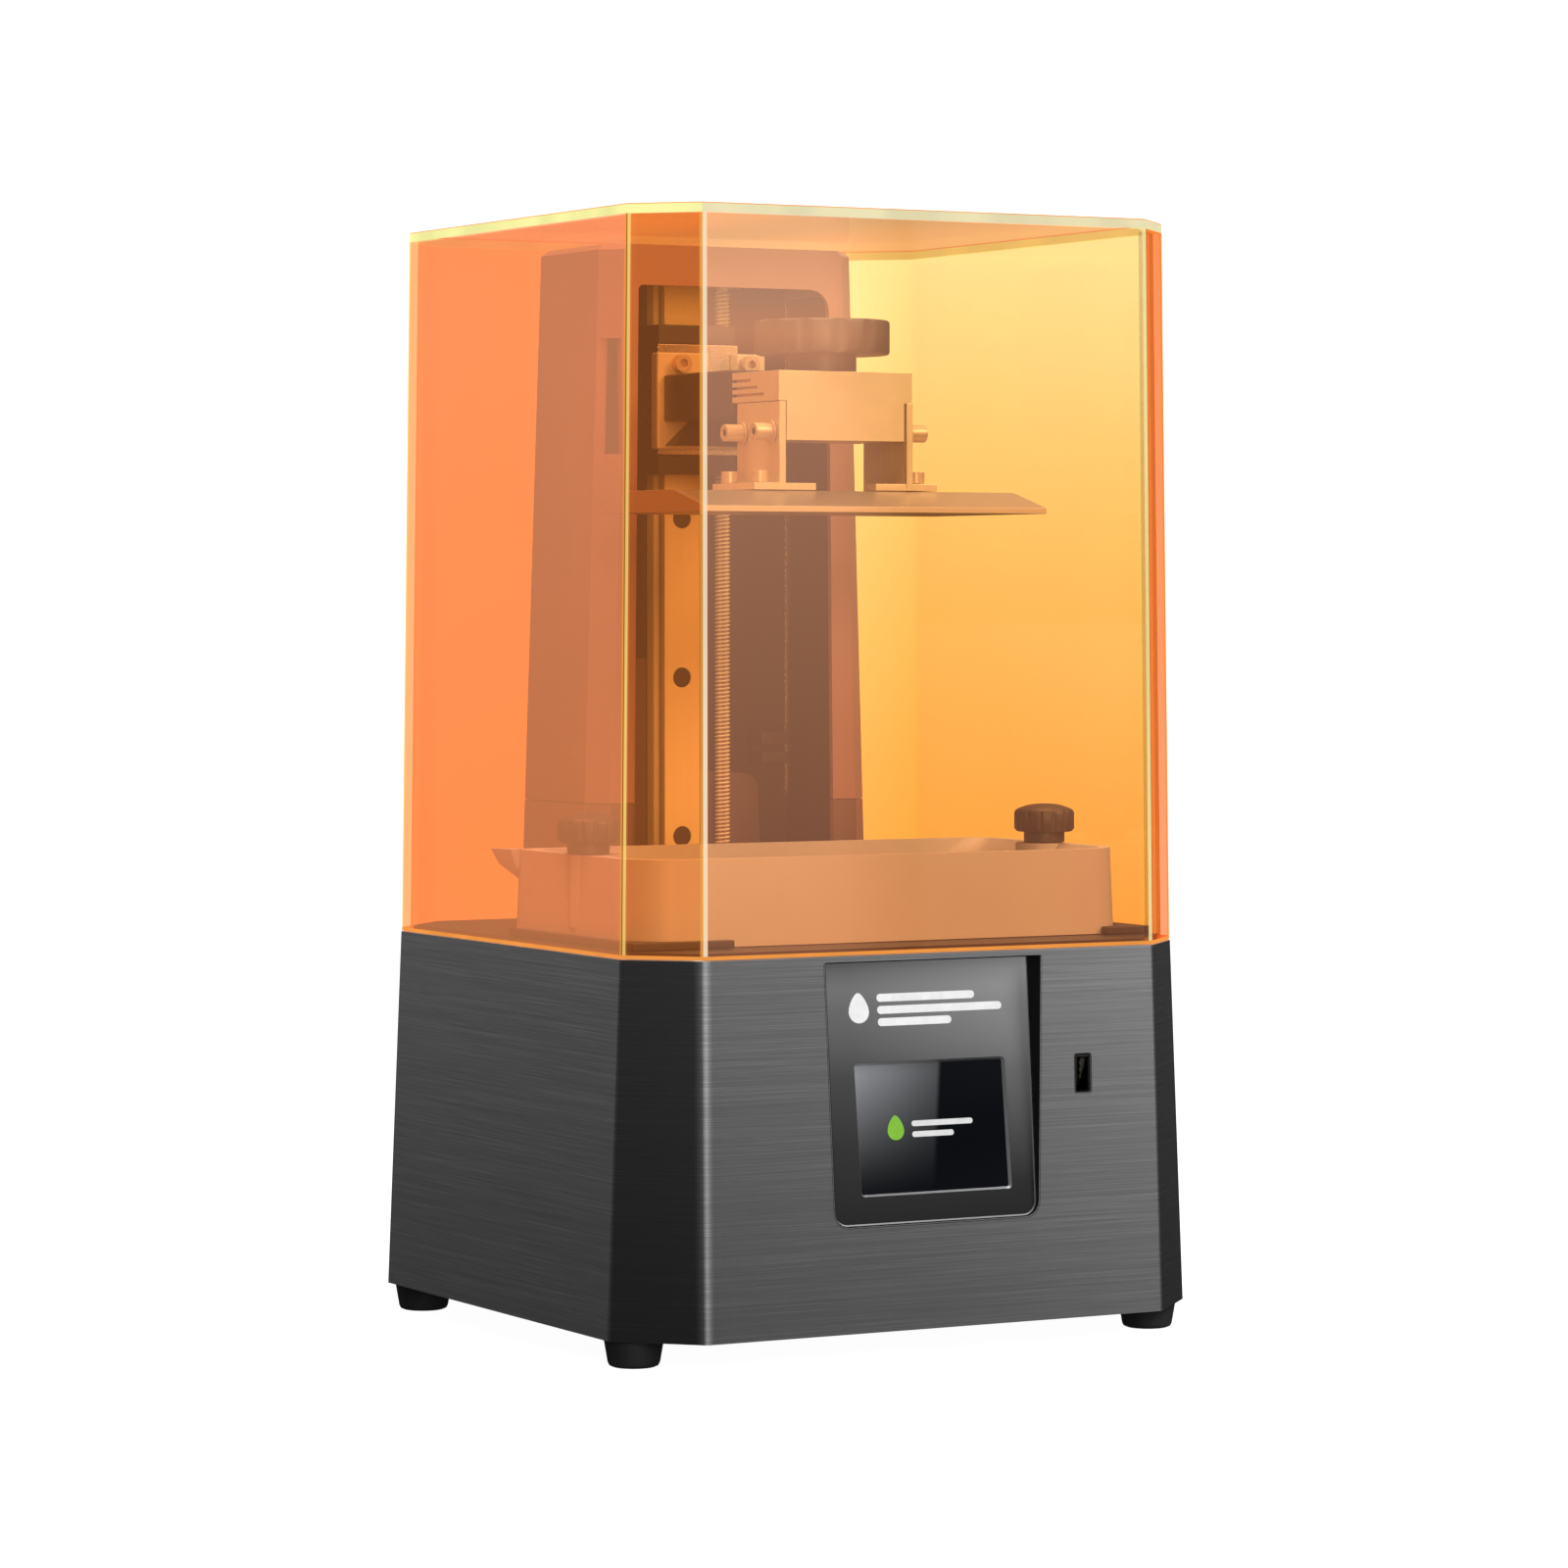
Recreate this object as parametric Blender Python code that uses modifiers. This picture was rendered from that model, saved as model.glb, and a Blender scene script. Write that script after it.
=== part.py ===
"""A desktop resin printer as an assembly of separate pieces.

Lengths in this file are in millimetres until an object is made, and MM turns them into metres.
The origin is on the ground under the middle of the housing, -Y is the front and +Z is up.
"""

import math

import bmesh
import bpy
from mathutils import Matrix, Vector

MM = 0.001
GAP = 0.3  # clearance between pieces that rest on each other

# Housing: an octagonal box that narrows upwards. Each pair is (at the bottom, at the top).
BASE_Z = (10.0, 142.3)
BASE_HALF_X = (118.6, 113.2)
BASE_HALF_Y = (116.9, 112.2)
BASE_CORNER = (25.3, 21.5)  # leg of the cut-off corners
BASE_WALL = 2.2
BASE_FLANGE = 2.3
BASE_EDGE_ROUND = 3.0
WALL_SLOPE = math.atan((BASE_HALF_Y[0] - BASE_HALF_Y[1]) / (BASE_Z[1] - BASE_Z[0]))

# Tinted cover, standing on the rim of the housing.
COVER_Z = (BASE_Z[1] + GAP, 404.0)
COVER_HALF_X = (112.8, 109.6)
COVER_HALF_Y = (111.8, 108.6)
COVER_CORNER = (21.2, 19.5)
COVER_WALL = 3.0
COVER_TOP = 3.5

DECK_Z = (BASE_Z[1] + GAP, 144.6)
DECK_INSET = 4.5

FOOT_PLACES = {"front_left": (-106, -86.5), "front_right": (106, -86.5),
               "rear_left": (-106, 86.5), "rear_right": (106, 86.5)}
FOOT_RADII = (8.9, 10.6)  # on the ground, under the housing

# Control panel: a plate that leans back in a pocket of the front wall.
POCKET_Z = (47.3, 140.2)
POCKET_HALF = (41.6, 44.2)
POCKET_CORNER = 5.5
PANEL_LOW, PANEL_HIGH = (50.0, 113.9), (139.0, 103.1)  # height, and distance of the panel's face from the middle
PANEL_TILT = math.atan((PANEL_LOW[1] - PANEL_HIGH[1]) / (PANEL_HIGH[0] - PANEL_LOW[0]))
PANEL_THICK = 2.2
SCREEN_MIDDLE = (1.2, 80.75)
SCREEN_SIZE = (61.8, 47.1)

USB_MIDDLE = (61.1, 97.25)
USB_HOLE = (7.4, 14.7)

# Rear wall: power inlet, rocker switch and fan, in x and z.
REAR_IO_Z = 80.0
INLET_X = 50.0
SWITCH_X = 78.0
ROCKER_TILT = -8.0  # degrees, pressed at its lower end
FAN_MIDDLE = (-50.0, 72.0)
FAN_Y = (95.0, 110.0)
FAN_BLADES = 7
VENT_RADIUS = 27.0
VENT_PITCH = 7.0

# The build head, the vat and the display all centre on this line across the printer.
WORK_Y = -31.0
LCD_HALF = (80.5, 48.5)
LIGHT_HALF = (75.0, 46.0)

# Resin vat
VAT_Z = (DECK_Z[1] + GAP, 176.0)
VAT_HALF_X = (102.0, 101.0)
VAT_HALF_Y = (52.5, 51.5)
VAT_WALL = 3.0
VAT_POOL = (79.5, 45.6)  # half size of the opening in its floor
VAT_KNOB_X = 95.5
VAT_KNOB_HEAD = (180.2, 190.6)
VAT_KNOB_RADIUS = 11.2
VAT_KNOB_FLUTES = 14
STUD_BORE = 2.9
FILM_Z = 148.0
FILM_HALF = (89.0, 48.9)

# Column and linear drive
COLUMN_FRONT = 36.0
COLUMN_REAR = (98.0, 95.0)
COLUMN_HALF = (61.0, 53.5)
COLUMN_SPLIT = 191.0
COLUMN_TOP = 399.0
COLUMN_TOP_BEVEL = 2.0
COLUMN_CHAMFER = 7.3
COLUMN_WALL = 2.5
SLOT_HALF = (43.0, 40.5)
SLOT_TOP = 384.0
LINER_X = (43.0, 45.0)  # sheets that line both sides of the slot
BACKPLATE_Y = (74.0, 77.0)
RAIL_X = -10.2
RAIL_Y = (59.0, BACKPLATE_Y[0] - GAP)
RAIL_Z = (162.0, 391.0)
RAIL_WIDTH = 15.0
RAIL_HOLE_PITCH = 60.3
CARRIAGE_HALF = 17.0
CARRIAGE_Y = (46.0, 70.5)
CARRIAGE_Z = (321.3, 362.7)
CARRIAGE_CAP = 7.0
SCREW_AXIS = (12.0, 68.2)
SCREW_RADIUS = 3.0
SCREW_Z = (106.0, 392.0)
NUT_BRACKET_FRONT = 47.0
MOTOR_HALF = 21.15

# Build head
ARM_HALF = 28.0
ARM_Y = (-13.2, 40.0)
ARM_Z = (333.4, 350.8)
BLOCK_Y = (-49.0, -13.5)
BLOCK_Z = (324.4, 349.5)
BLOCK_HALF = (24.4, 27.7)  # below and above the step that takes the brackets
BLOCK_STEP_Z = 338.6
PLATE_Z = (298.2, 306.2)
PLATE_HALF = 70.8
PLATE_Y = (-72.4, 10.0)
BRACKET_THICK = 2.5
KNOB_Y = -31.3
KNOB_RADIUS = 24.65
KNOB_DISC = (356.0, 368.5)
KNOB_SCALLOPS = 12
SOCKET_RADIUS = 1.6  # hexagon sockets of the small cap screws
LIMB_SCREW_Z = 327.5
FLANGE_SCREW_X = 32.5
LIMB_SCREW_YS = (-44.0, -22.0)
FLANGE_SCREW_YS = (-43.5, -20.5)


# ---------------------------------------------------------------- scene and materials


def fresh_collection(name):
    made = bpy.data.collections.new(name)
    bpy.context.scene.collection.children.link(made)
    return made


def finish(name, color, roughness, metallic=0.0, alpha=1.0):
    """A plain Principled material."""
    made = bpy.data.materials.new(name)
    made.use_nodes = True
    made.diffuse_color = (*color, alpha)
    shader = made.node_tree.nodes["Principled BSDF"]
    shader.inputs["Base Color"].default_value = (*color, 1.0)
    shader.inputs["Roughness"].default_value = roughness
    shader.inputs["Metallic"].default_value = metallic
    shader.inputs["Alpha"].default_value = alpha
    return made


for old in list(bpy.data.objects):
    bpy.data.objects.remove(old, do_unlink=True)
PARTS = fresh_collection("resin_printer")
CUTTERS = fresh_collection("cutters")

BRUSHED_DARK = finish("brushed_dark_metal", (0.09, 0.09, 0.095), 0.42, 0.6)
SATIN_GREY = finish("satin_grey", (0.12, 0.12, 0.13), 0.45, 0.4)
BLACK_PLASTIC = finish("black_plastic", (0.02, 0.02, 0.02), 0.5)
RUBBER = finish("black_rubber", (0.015, 0.015, 0.015), 0.8)
ORANGE_ACRYLIC = finish("orange_acrylic", (1.0, 0.35, 0.05), 0.05, 0.0, 0.45)
SCREEN_GLASS = finish("screen_glass", (0.01, 0.012, 0.016), 0.08)
CIRCUIT = finish("circuit_board", (0.02, 0.12, 0.05), 0.5)
ALUMINIUM = finish("satin_aluminium", (0.75, 0.75, 0.76), 0.35, 1.0)
STEEL = finish("steel", (0.6, 0.6, 0.62), 0.25, 1.0)
BRASS = finish("brass", (0.78, 0.57, 0.22), 0.3, 1.0)
DARK_ALUMINIUM = finish("dark_anodised", (0.04, 0.04, 0.045), 0.4, 0.7)
VAT_PLASTIC = finish("vat_plastic", (0.72, 0.7, 0.68), 0.45)
COLUMN_SHEET = finish("column_sheet", (0.16, 0.15, 0.16), 0.5, 0.3)
FILM = finish("release_film", (0.85, 0.88, 0.9), 0.15, 0.0, 0.5)


# ---------------------------------------------------------------- shape helpers


def make(name, shape, look, pivot=(0.0, 0.0, 0.0)):
    """Turns a bmesh in millimetres into an object with its origin at pivot. A look of None makes a cutter."""
    shift = Vector(pivot)
    shape.transform(Matrix.Scale(MM, 4) @ Matrix.Translation(-shift))
    bmesh.ops.recalc_face_normals(shape, faces=shape.faces)
    mesh = bpy.data.meshes.new(name)
    shape.to_mesh(mesh)
    shape.free()
    made = bpy.data.objects.new(name, mesh)
    made.location = shift * MM
    if look is None:
        made.hide_render = True
        made.display_type = "WIRE"
        CUTTERS.objects.link(made)
    else:
        mesh.materials.append(look)
        PARTS.objects.link(made)
    return made


def bevel(piece, width, segments=1, angle=30.0):
    edge = piece.modifiers.new("bevel", "BEVEL")
    edge.width = width * MM
    edge.segments = segments
    edge.limit_method = "ANGLE"
    edge.angle_limit = math.radians(angle)
    return piece


def block(name, look, low, high, edge=0.0):
    """A box between two corners, with its edges bevelled by edge."""
    shape = bmesh.new()
    size = Vector(high) - Vector(low)
    middle = (Vector(high) + Vector(low)) / 2
    bmesh.ops.create_cube(shape, size=1.0, matrix=Matrix.Translation(middle) @ Matrix.Diagonal((*size, 1.0)))
    made = make(name, shape, look)
    return bevel(made, edge) if edge else made


TURN_TO = {"X": Matrix.Rotation(math.pi / 2, 4, "Y"),
           "Y": Matrix.Rotation(-math.pi / 2, 4, "X"),
           "Z": Matrix.Identity(4)}


def rod(name, look, radius, start, length, axis="Z", steps=24):
    """A cylinder that runs from start along an axis."""
    shape = bmesh.new()
    bmesh.ops.create_cone(shape, cap_ends=True, segments=steps, radius1=radius, radius2=radius, depth=length,
                          matrix=Matrix.Translation((0, 0, length / 2)))
    shape.transform(Matrix.Translation(start) @ TURN_TO[axis])
    return make(name, shape, look)


def turned(name, look, profile, place, steps=32):
    """A turned piece: profile lists (radius, height) down its outer side, and starts and ends on the axis."""
    shape = bmesh.new()
    points = [shape.verts.new((radius, 0.0, height)) for radius, height in profile]
    for above, below in zip(points, points[1:]):
        shape.edges.new((above, below))
    made = make(name, shape, look)
    made.location = Vector(place) * MM
    spin = made.modifiers.new("turn", "SCREW")
    spin.steps = spin.render_steps = steps
    spin.use_merge_vertices = True
    spin.merge_threshold = 0.00001
    spin.use_smooth_shade = False
    return made


def prism(name, look, outline, low, high, axis="Z", pivot=(0.0, 0.0, 0.0)):
    """An outline of two-dimensional points, extruded along an axis.

    The outline's points are (x, y) for Z, (x, z) for Y and (y, z) for X.
    """
    spread = {"Z": lambda a, b: (a, b, low), "Y": lambda a, b: (a, low, b), "X": lambda a, b: (low, a, b)}[axis]
    push = Vector({"Z": (0, 0, 1), "Y": (0, 1, 0), "X": (1, 0, 0)}[axis]) * (high - low)
    shape = bmesh.new()
    face = shape.faces.new([shape.verts.new(spread(a, b)) for a, b in outline])
    grown = bmesh.ops.extrude_face_region(shape, geom=[face])["geom"]
    bmesh.ops.translate(shape, verts=[v for v in grown if isinstance(v, bmesh.types.BMVert)], vec=push)
    return make(name, shape, look, pivot)


def loft(name, look, sections, pivot=(0.0, 0.0, 0.0)):
    """A body through horizontal outlines of equally many points: sections lists (height, outline)."""
    shape = bmesh.new()
    rings = [[shape.verts.new((x, y, height)) for x, y in outline] for height, outline in sections]
    shape.faces.new(rings[0])
    shape.faces.new(rings[-1])
    for lower, upper in zip(rings, rings[1:]):
        for i in range(len(lower)):
            shape.faces.new((lower[i - 1], lower[i], upper[i], upper[i - 1]))
    return make(name, shape, look, pivot)


def cut(piece, *cutters):
    for cutter in cutters:
        boolean = piece.modifiers.new("cut", "BOOLEAN")
        boolean.operation = "DIFFERENCE"
        boolean.object = cutter
    return piece


def join(piece, *extras):
    for extra in extras:
        boolean = piece.modifiers.new("join", "BOOLEAN")
        boolean.operation = "UNION"
        boolean.object = extra
    return piece


def rounded(corners, radii, steps=4):
    """The outline of a polygon with each corner rounded to its radius."""
    outline = []
    count = len(corners)
    for i, radius in enumerate(radii):
        corner = Vector(corners[i])
        back = (Vector(corners[i - 1]) - corner).normalized()
        ahead = (Vector(corners[(i + 1) % count]) - corner).normalized()
        half = back.angle(ahead) / 2
        reach = radius / math.tan(half)
        centre = corner + (back + ahead).normalized() * radius / math.sin(half)
        first = corner + back * reach - centre
        turn = (corner + ahead * reach - centre).angle_signed(first)
        for step in range(steps + 1):
            outline.append(centre + Matrix.Rotation(turn * step / steps, 2) @ first)
    return [tuple(point) for point in outline]


def rectangle(half_x, half_y, middle=(0.0, 0.0), radius=0.0, steps=4):
    corners = [(middle[0] + sx * half_x, middle[1] + sy * half_y)
               for sx, sy in ((-1, -1), (1, -1), (1, 1), (-1, 1))]
    return rounded(corners, [radius] * 4, steps) if radius else corners


def octagon(half_x, half_y, leg, radius, steps=3):
    corners = [(-half_x + leg, -half_y), (half_x - leg, -half_y), (half_x, -half_y + leg),
               (half_x, half_y - leg), (half_x - leg, half_y), (-half_x + leg, half_y),
               (-half_x, half_y - leg), (-half_x, -half_y + leg)]
    return rounded(corners, [radius] * 8, steps)


def between(pair, share):
    return pair[0] + (pair[1] - pair[0]) * share


def shell_outline(height, heights, half_x, half_y, corner, radius, inset=0.0):
    """The octagon of a narrowing shell at a height, moved in by inset with the wall kept even."""
    share = (height - heights[0]) / (heights[1] - heights[0])
    return octagon(between(half_x, share) - inset, between(half_y, share) - inset,
                   between(corner, share) - inset * (2 - math.sqrt(2)), max(radius - inset, 0.6))


def base_outline(height, inset=0.0):
    return shell_outline(height, BASE_Z, BASE_HALF_X, BASE_HALF_Y, BASE_CORNER, BASE_EDGE_ROUND, inset)


def cover_outline(height, inset=0.0):
    return shell_outline(height, COVER_Z, COVER_HALF_X, COVER_HALF_Y, COVER_CORNER, 1.2, inset)


def wall_y(height):
    """Distance from the middle to the outside of the front or rear wall."""
    return between(BASE_HALF_Y, (height - BASE_Z[0]) / (BASE_Z[1] - BASE_Z[0]))


def frame_at(name, place, tilt):
    """An empty that carries pieces modelled about their own origin."""
    holder = bpy.data.objects.new(name, None)
    holder.location = Vector(place) * MM
    holder.rotation_euler = (tilt, 0.0, 0.0)
    PARTS.objects.link(holder)
    return holder


def hang(holder, *pieces):
    """Parents the pieces, and the cutters that shape them, to the holder."""
    for piece in pieces:
        piece.parent = holder
        hang(holder, *(m.object for m in piece.modifiers if m.type == "BOOLEAN"))


# ---------------------------------------------------------------- housing


def pocket_outline(grow=0.0):
    """The panel's pocket, in x and z: it narrows downwards and its lower corners are round."""
    corners = [(-POCKET_HALF[0] - grow, POCKET_Z[0] - grow), (POCKET_HALF[0] + grow, POCKET_Z[0] - grow),
               (POCKET_HALF[1] + grow, POCKET_Z[1] + grow), (-POCKET_HALF[1] - grow, POCKET_Z[1] + grow)]
    return rounded(corners, [POCKET_CORNER + grow, POCKET_CORNER + grow, 0.5, 0.5], 5)


def build_base():
    shell = loft("base_shell", BRUSHED_DARK, [(z, base_outline(z)) for z in BASE_Z])
    inner_z = (BASE_Z[0] - 1.0, BASE_Z[1] - BASE_FLANGE)
    hollow = loft("shell_hollow", None, [(z, base_outline(z, BASE_WALL)) for z in inner_z])
    mouth = loft("shell_mouth", None, [(z, base_outline(BASE_Z[1], 10.0)) for z in (135.0, 150.0)])
    surround = prism("pocket_surround", None, pocket_outline(1.6), -wall_y(POCKET_Z[1]) + 1.0, -98.0, "Y")
    pocket = prism("pocket_cut", None, pocket_outline(), -130.0, -90.0, "Y")
    hole = rectangle(USB_HOLE[0] / 2, USB_HOLE[1] / 2, USB_MIDDLE, 1.0, 2)
    usb = prism("usb_cut", None, hole, -130.0, -105.0, "Y")
    cut(shell, hollow, mouth)
    join(shell, surround)
    cut(shell, pocket, usb)
    for row in range(-3, 4):
        z = FAN_MIDDLE[1] + row * VENT_PITCH
        half = math.sqrt(VENT_RADIUS**2 - (row * VENT_PITCH) ** 2)
        slot = rectangle(half, 1.7, (FAN_MIDDLE[0], z), 1.6, 2)
        cut(shell, prism("vent_cut", None, slot, 105.0, 125.0, "Y"))
    jack = rod("inlet_cut", None, 6.0, (INLET_X, 105.0, REAR_IO_Z), 20.0, "Y", 24)
    rocker = prism("switch_cut", None, rectangle(6.6, 9.7, (SWITCH_X, REAR_IO_Z)), 105.0, 125.0, "Y")
    cut(shell, jack, rocker)

    tray = prism("bottom_plate", DARK_ALUMINIUM, base_outline(12.0, BASE_WALL + GAP), BASE_Z[0], 12.0)
    for x in range(-40, 41, 16):
        cut(tray, prism("intake_cut", None, rectangle(1.8, 26.0, (x, WORK_Y), 1.7, 2), 5.0, 20.0))
    for name, (x, y) in FOOT_PLACES.items():
        profile = [(0, 14.5), (2.2, 14.5), (3.2, 13.2), (3.2, 12.3), (2.6, 12.3), (2.6, BASE_Z[0] - GAP),
                   (FOOT_RADII[1], BASE_Z[0] - GAP), (FOOT_RADII[0] + 0.3, 1.6), (FOOT_RADII[0] - 0.2, 0.5),
                   (FOOT_RADII[0] - 1.4, 0), (0, 0)]
        turned("foot_" + name, RUBBER, profile, (x, y, 0), 28)
        cut(tray, rod("foot_stem_cut", None, 2.9, (x, y, 5.0), 15.0, steps=16))

    deck = prism("deck_plate", DARK_ALUMINIUM, base_outline(BASE_Z[1], DECK_INSET), *DECK_Z)
    cut(deck, prism("display_cut", None, rectangle(LCD_HALF[0] + 0.5, LCD_HALF[1] + 0.5, (0, WORK_Y)), 130, 160),
        rod("motor_boss_cut", None, 11.4, (*SCREW_AXIS, 135.0), 20.0))
    for side in (-1, 1):
        cut(deck, rod("stud_cut", None, STUD_BORE, (side * VAT_KNOB_X, WORK_Y, 135.0), 20.0, steps=16))
    build_vat_guide("vat_guide_left", -1, -66.5)
    build_vat_guide("vat_guide_right", 1, 88.0)


def build_vat_guide(name, side, reach):
    """A low rail round the vat's front corner, from reach along the front to most of the side."""
    front, rear = WORK_Y - VAT_HALF_Y[0] - 4.0, 12.0
    low, high = sorted((reach, side * 106.4))
    guide = block(name, BLACK_PLASTIC, (low, front, VAT_Z[0]), (high, rear, 147.5))
    clear = vat_outline(VAT_HALF_X[0] + 0.5, VAT_HALF_Y[0] + 0.5, 20.5, 9.5)
    cut(guide, prism("vat_clearance", None, clear, 140.0, 160.0))


def build_panel():
    bottom = POCKET_Z[0] + GAP
    face_y = PANEL_LOW[1] + (PANEL_LOW[0] - bottom) * math.tan(PANEL_TILT)
    holder = frame_at("panel_frame", (0, -face_y, bottom), -PANEL_TILT)
    rise = (POCKET_Z[1] - GAP - bottom) / math.cos(PANEL_TILT) - 0.3
    half = (POCKET_HALF[0] - GAP, POCKET_HALF[1] - GAP)
    outline = rounded([(-half[0], 0), (half[0], 0), (half[1], rise), (-half[1], rise)],
                      [POCKET_CORNER - 0.2, POCKET_CORNER - 0.2, 0.6, 0.6], 5)
    middle = (SCREEN_MIDDLE[0], (SCREEN_MIDDLE[1] - bottom) / math.cos(PANEL_TILT))
    window = (SCREEN_SIZE[0] / 2, SCREEN_SIZE[1] / 2)
    panel = prism("control_panel", SATIN_GREY, outline, 0.0, PANEL_THICK, "Y")
    cut(panel, prism("window_cut", None, rectangle(*window, middle, 1.5, 3), -5.0, 5.0, "Y"),
        prism("glass_seat_cut", None, rectangle(window[0] + 2.6, window[1] + 2.6, middle), 1.0, 5.0, "Y"))
    glass = prism("screen_glass", SCREEN_GLASS, rectangle(window[0] + 2.2, window[1] + 2.2, middle), 1.3, 2.4, "Y")
    module = prism("display_module", CIRCUIT, rectangle(window[0] + 1.0, window[1] + 1.0, middle), 2.7, 7.5, "Y")
    hang(holder, panel, glass, module)

    x, z = USB_MIDDLE
    socket = block("usb_socket", STEEL, (x - 2.9, -113.2, z - 6.6), (x + 2.9, -99.0, z + 6.6), 0.4)
    cut(socket, block("socket_mouth", None, (x - 2.4, -120.0, z - 6.1), (x + 2.4, -101.0, z + 6.1)))
    join(socket, block("socket_tongue", None, (x - 0.3, -112.4, z - 5.4), (x + 1.5, -100.0, z + 5.4)))


def build_rear_sockets():
    holder = frame_at("rear_frame", (0, wall_y(REAR_IO_Z), REAR_IO_Z), WALL_SLOPE)
    inlet = rod("power_inlet", BLACK_PLASTIC, 5.6, (INLET_X, -14.0, 0), 13.7, "Y", 24)
    cut(inlet, rod("jack_mouth", None, 3.6, (INLET_X, -11.0, 0), 20.0, "Y", 20))
    join(inlet, rod("jack_pin", None, 1.1, (INLET_X, -12.0, 0), 10.0, "Y", 12))

    bezel = block("power_switch_bezel", BLACK_PLASTIC, (SWITCH_X - 6.2, -12.0, -9.2), (SWITCH_X + 6.2, 0.5, 9.2))
    join(bezel, block("bezel_lip", None, (SWITCH_X - 7.6, 0.3, -10.8), (SWITCH_X + 7.6, 1.3, 10.8), 0.5))
    cut(bezel, block("bezel_mouth", None, (SWITCH_X - 5.0, -7.5, -8.2), (SWITCH_X + 5.0, 5.0, 8.2)))
    pivot = (0.0, -2.5, 0.0)
    shape = [(1.2, 7.2), (0.2, 0.0), (1.2, -7.2), (-3.0, -6.4), (-4.6, 0.0), (-3.0, 6.4)]
    rocker = prism("power_switch_rocker", BLACK_PLASTIC, shape, SWITCH_X - 4.6, SWITCH_X + 4.6, "X", pivot)
    rocker.rotation_euler = (math.radians(ROCKER_TILT), 0.0, 0.0)
    hang(holder, inlet, bezel, rocker)


def build_light_engine():
    seat = 142.2
    cone_z = (70.0, seat)
    outer = [(cone_z[0], rectangle(28, 28, (0, WORK_Y))),
             (cone_z[1], rectangle(LIGHT_HALF[0] + 1.6, LIGHT_HALF[1] + 1.6, (0, WORK_Y)))]
    inner = [(cone_z[0] - 0.1, rectangle(26.4, 26.4, (0, WORK_Y))),
             (cone_z[1] + 0.1, rectangle(*LIGHT_HALF, (0, WORK_Y)))]
    cut(loft("light_cone", ALUMINIUM, outer), loft("cone_hollow", None, inner))
    prism("masking_lcd", SCREEN_GLASS, rectangle(*LCD_HALF, (0, WORK_Y)), seat + 0.6, DECK_Z[1] - 0.1)
    board = block("led_board", CIRCUIT, (-32, WORK_Y - 32, 66.6), (32, WORK_Y + 32, 68.2))
    join(board, block("led_array", None, (-20, WORK_Y - 20, 68.0), (20, WORK_Y + 20, 69.6)))
    sink = block("heat_sink", ALUMINIUM, (-42, WORK_Y - 40, 61.0), (42, WORK_Y + 40, 66.3))
    for fin in range(-4, 5):
        x = fin * 10.0
        join(sink, block("fin", None, (x - 1.0, WORK_Y - 40, 30.0), (x + 1.0, WORK_Y + 40, 62.0)))
    boards = block("main_board", CIRCUIT, (-12, 26, 20.0), (100, 92, 21.6))
    chips = ((8, 45, 7, 4), (40, 70, 9, 3), (70, 40, 5, 12), (85, 78, 6, 9), (20, 80, 4, 6))
    for x, y, half, high in chips:
        join(boards, block("chip", None, (x - half, y - half, 21.0), (x + half, y + half, 21.6 + high)))


def build_fan():
    x, z = FAN_MIDDLE
    front, rear = FAN_Y
    frame = block("fan_frame", BLACK_PLASTIC, (x - 30, front, z - 30), (x + 30, rear, z + 30), 1.0)
    cut(frame, rod("fan_bore", None, 28.4, (x, front - 5, z), 25.0, "Y", 36))
    spoke_half = 2.0
    for quarter in range(2):
        low = (x - 29, front, z - spoke_half) if quarter else (x - spoke_half, front, z - 29)
        high = (x + 29, front + 2.5, z + spoke_half) if quarter else (x + spoke_half, front + 2.5, z + 29)
        join(frame, block("fan_spoke", None, low, high))
    join(frame, rod("fan_seat", None, 12.0, (x, front, z), 2.5, "Y", 24))
    rotor = rod("fan_rotor", BLACK_PLASTIC, 12.5, (0, -3.9, 0), 9.5, "Y", 28)
    for i in range(FAN_BLADES):
        turn = Matrix.Rotation(2 * math.pi * i / FAN_BLADES, 4, "Y")
        pitch = Matrix.Rotation(math.radians(38), 4, "X")
        shape = bmesh.new()
        bmesh.ops.create_cube(shape, size=1.0, matrix=turn @ Matrix.Translation((19.0, 1.0, 0)) @ pitch
                              @ Matrix.Diagonal((16.0, 1.4, 10.0, 1.0)))
        join(rotor, make("fan_blade", shape, None))
    hang(rotor, *(m.object for m in rotor.modifiers))
    rotor.location = Vector((x, (front + rear) / 2, z)) * MM


# ---------------------------------------------------------------- vat


def vat_outline(half_x, half_y, front_round, rear_round):
    corners = [(-half_x, WORK_Y - half_y), (half_x, WORK_Y - half_y), (half_x, WORK_Y + half_y),
               (-half_x, WORK_Y + half_y)]
    return rounded(corners, [front_round, front_round, rear_round, rear_round], 6)


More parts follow.
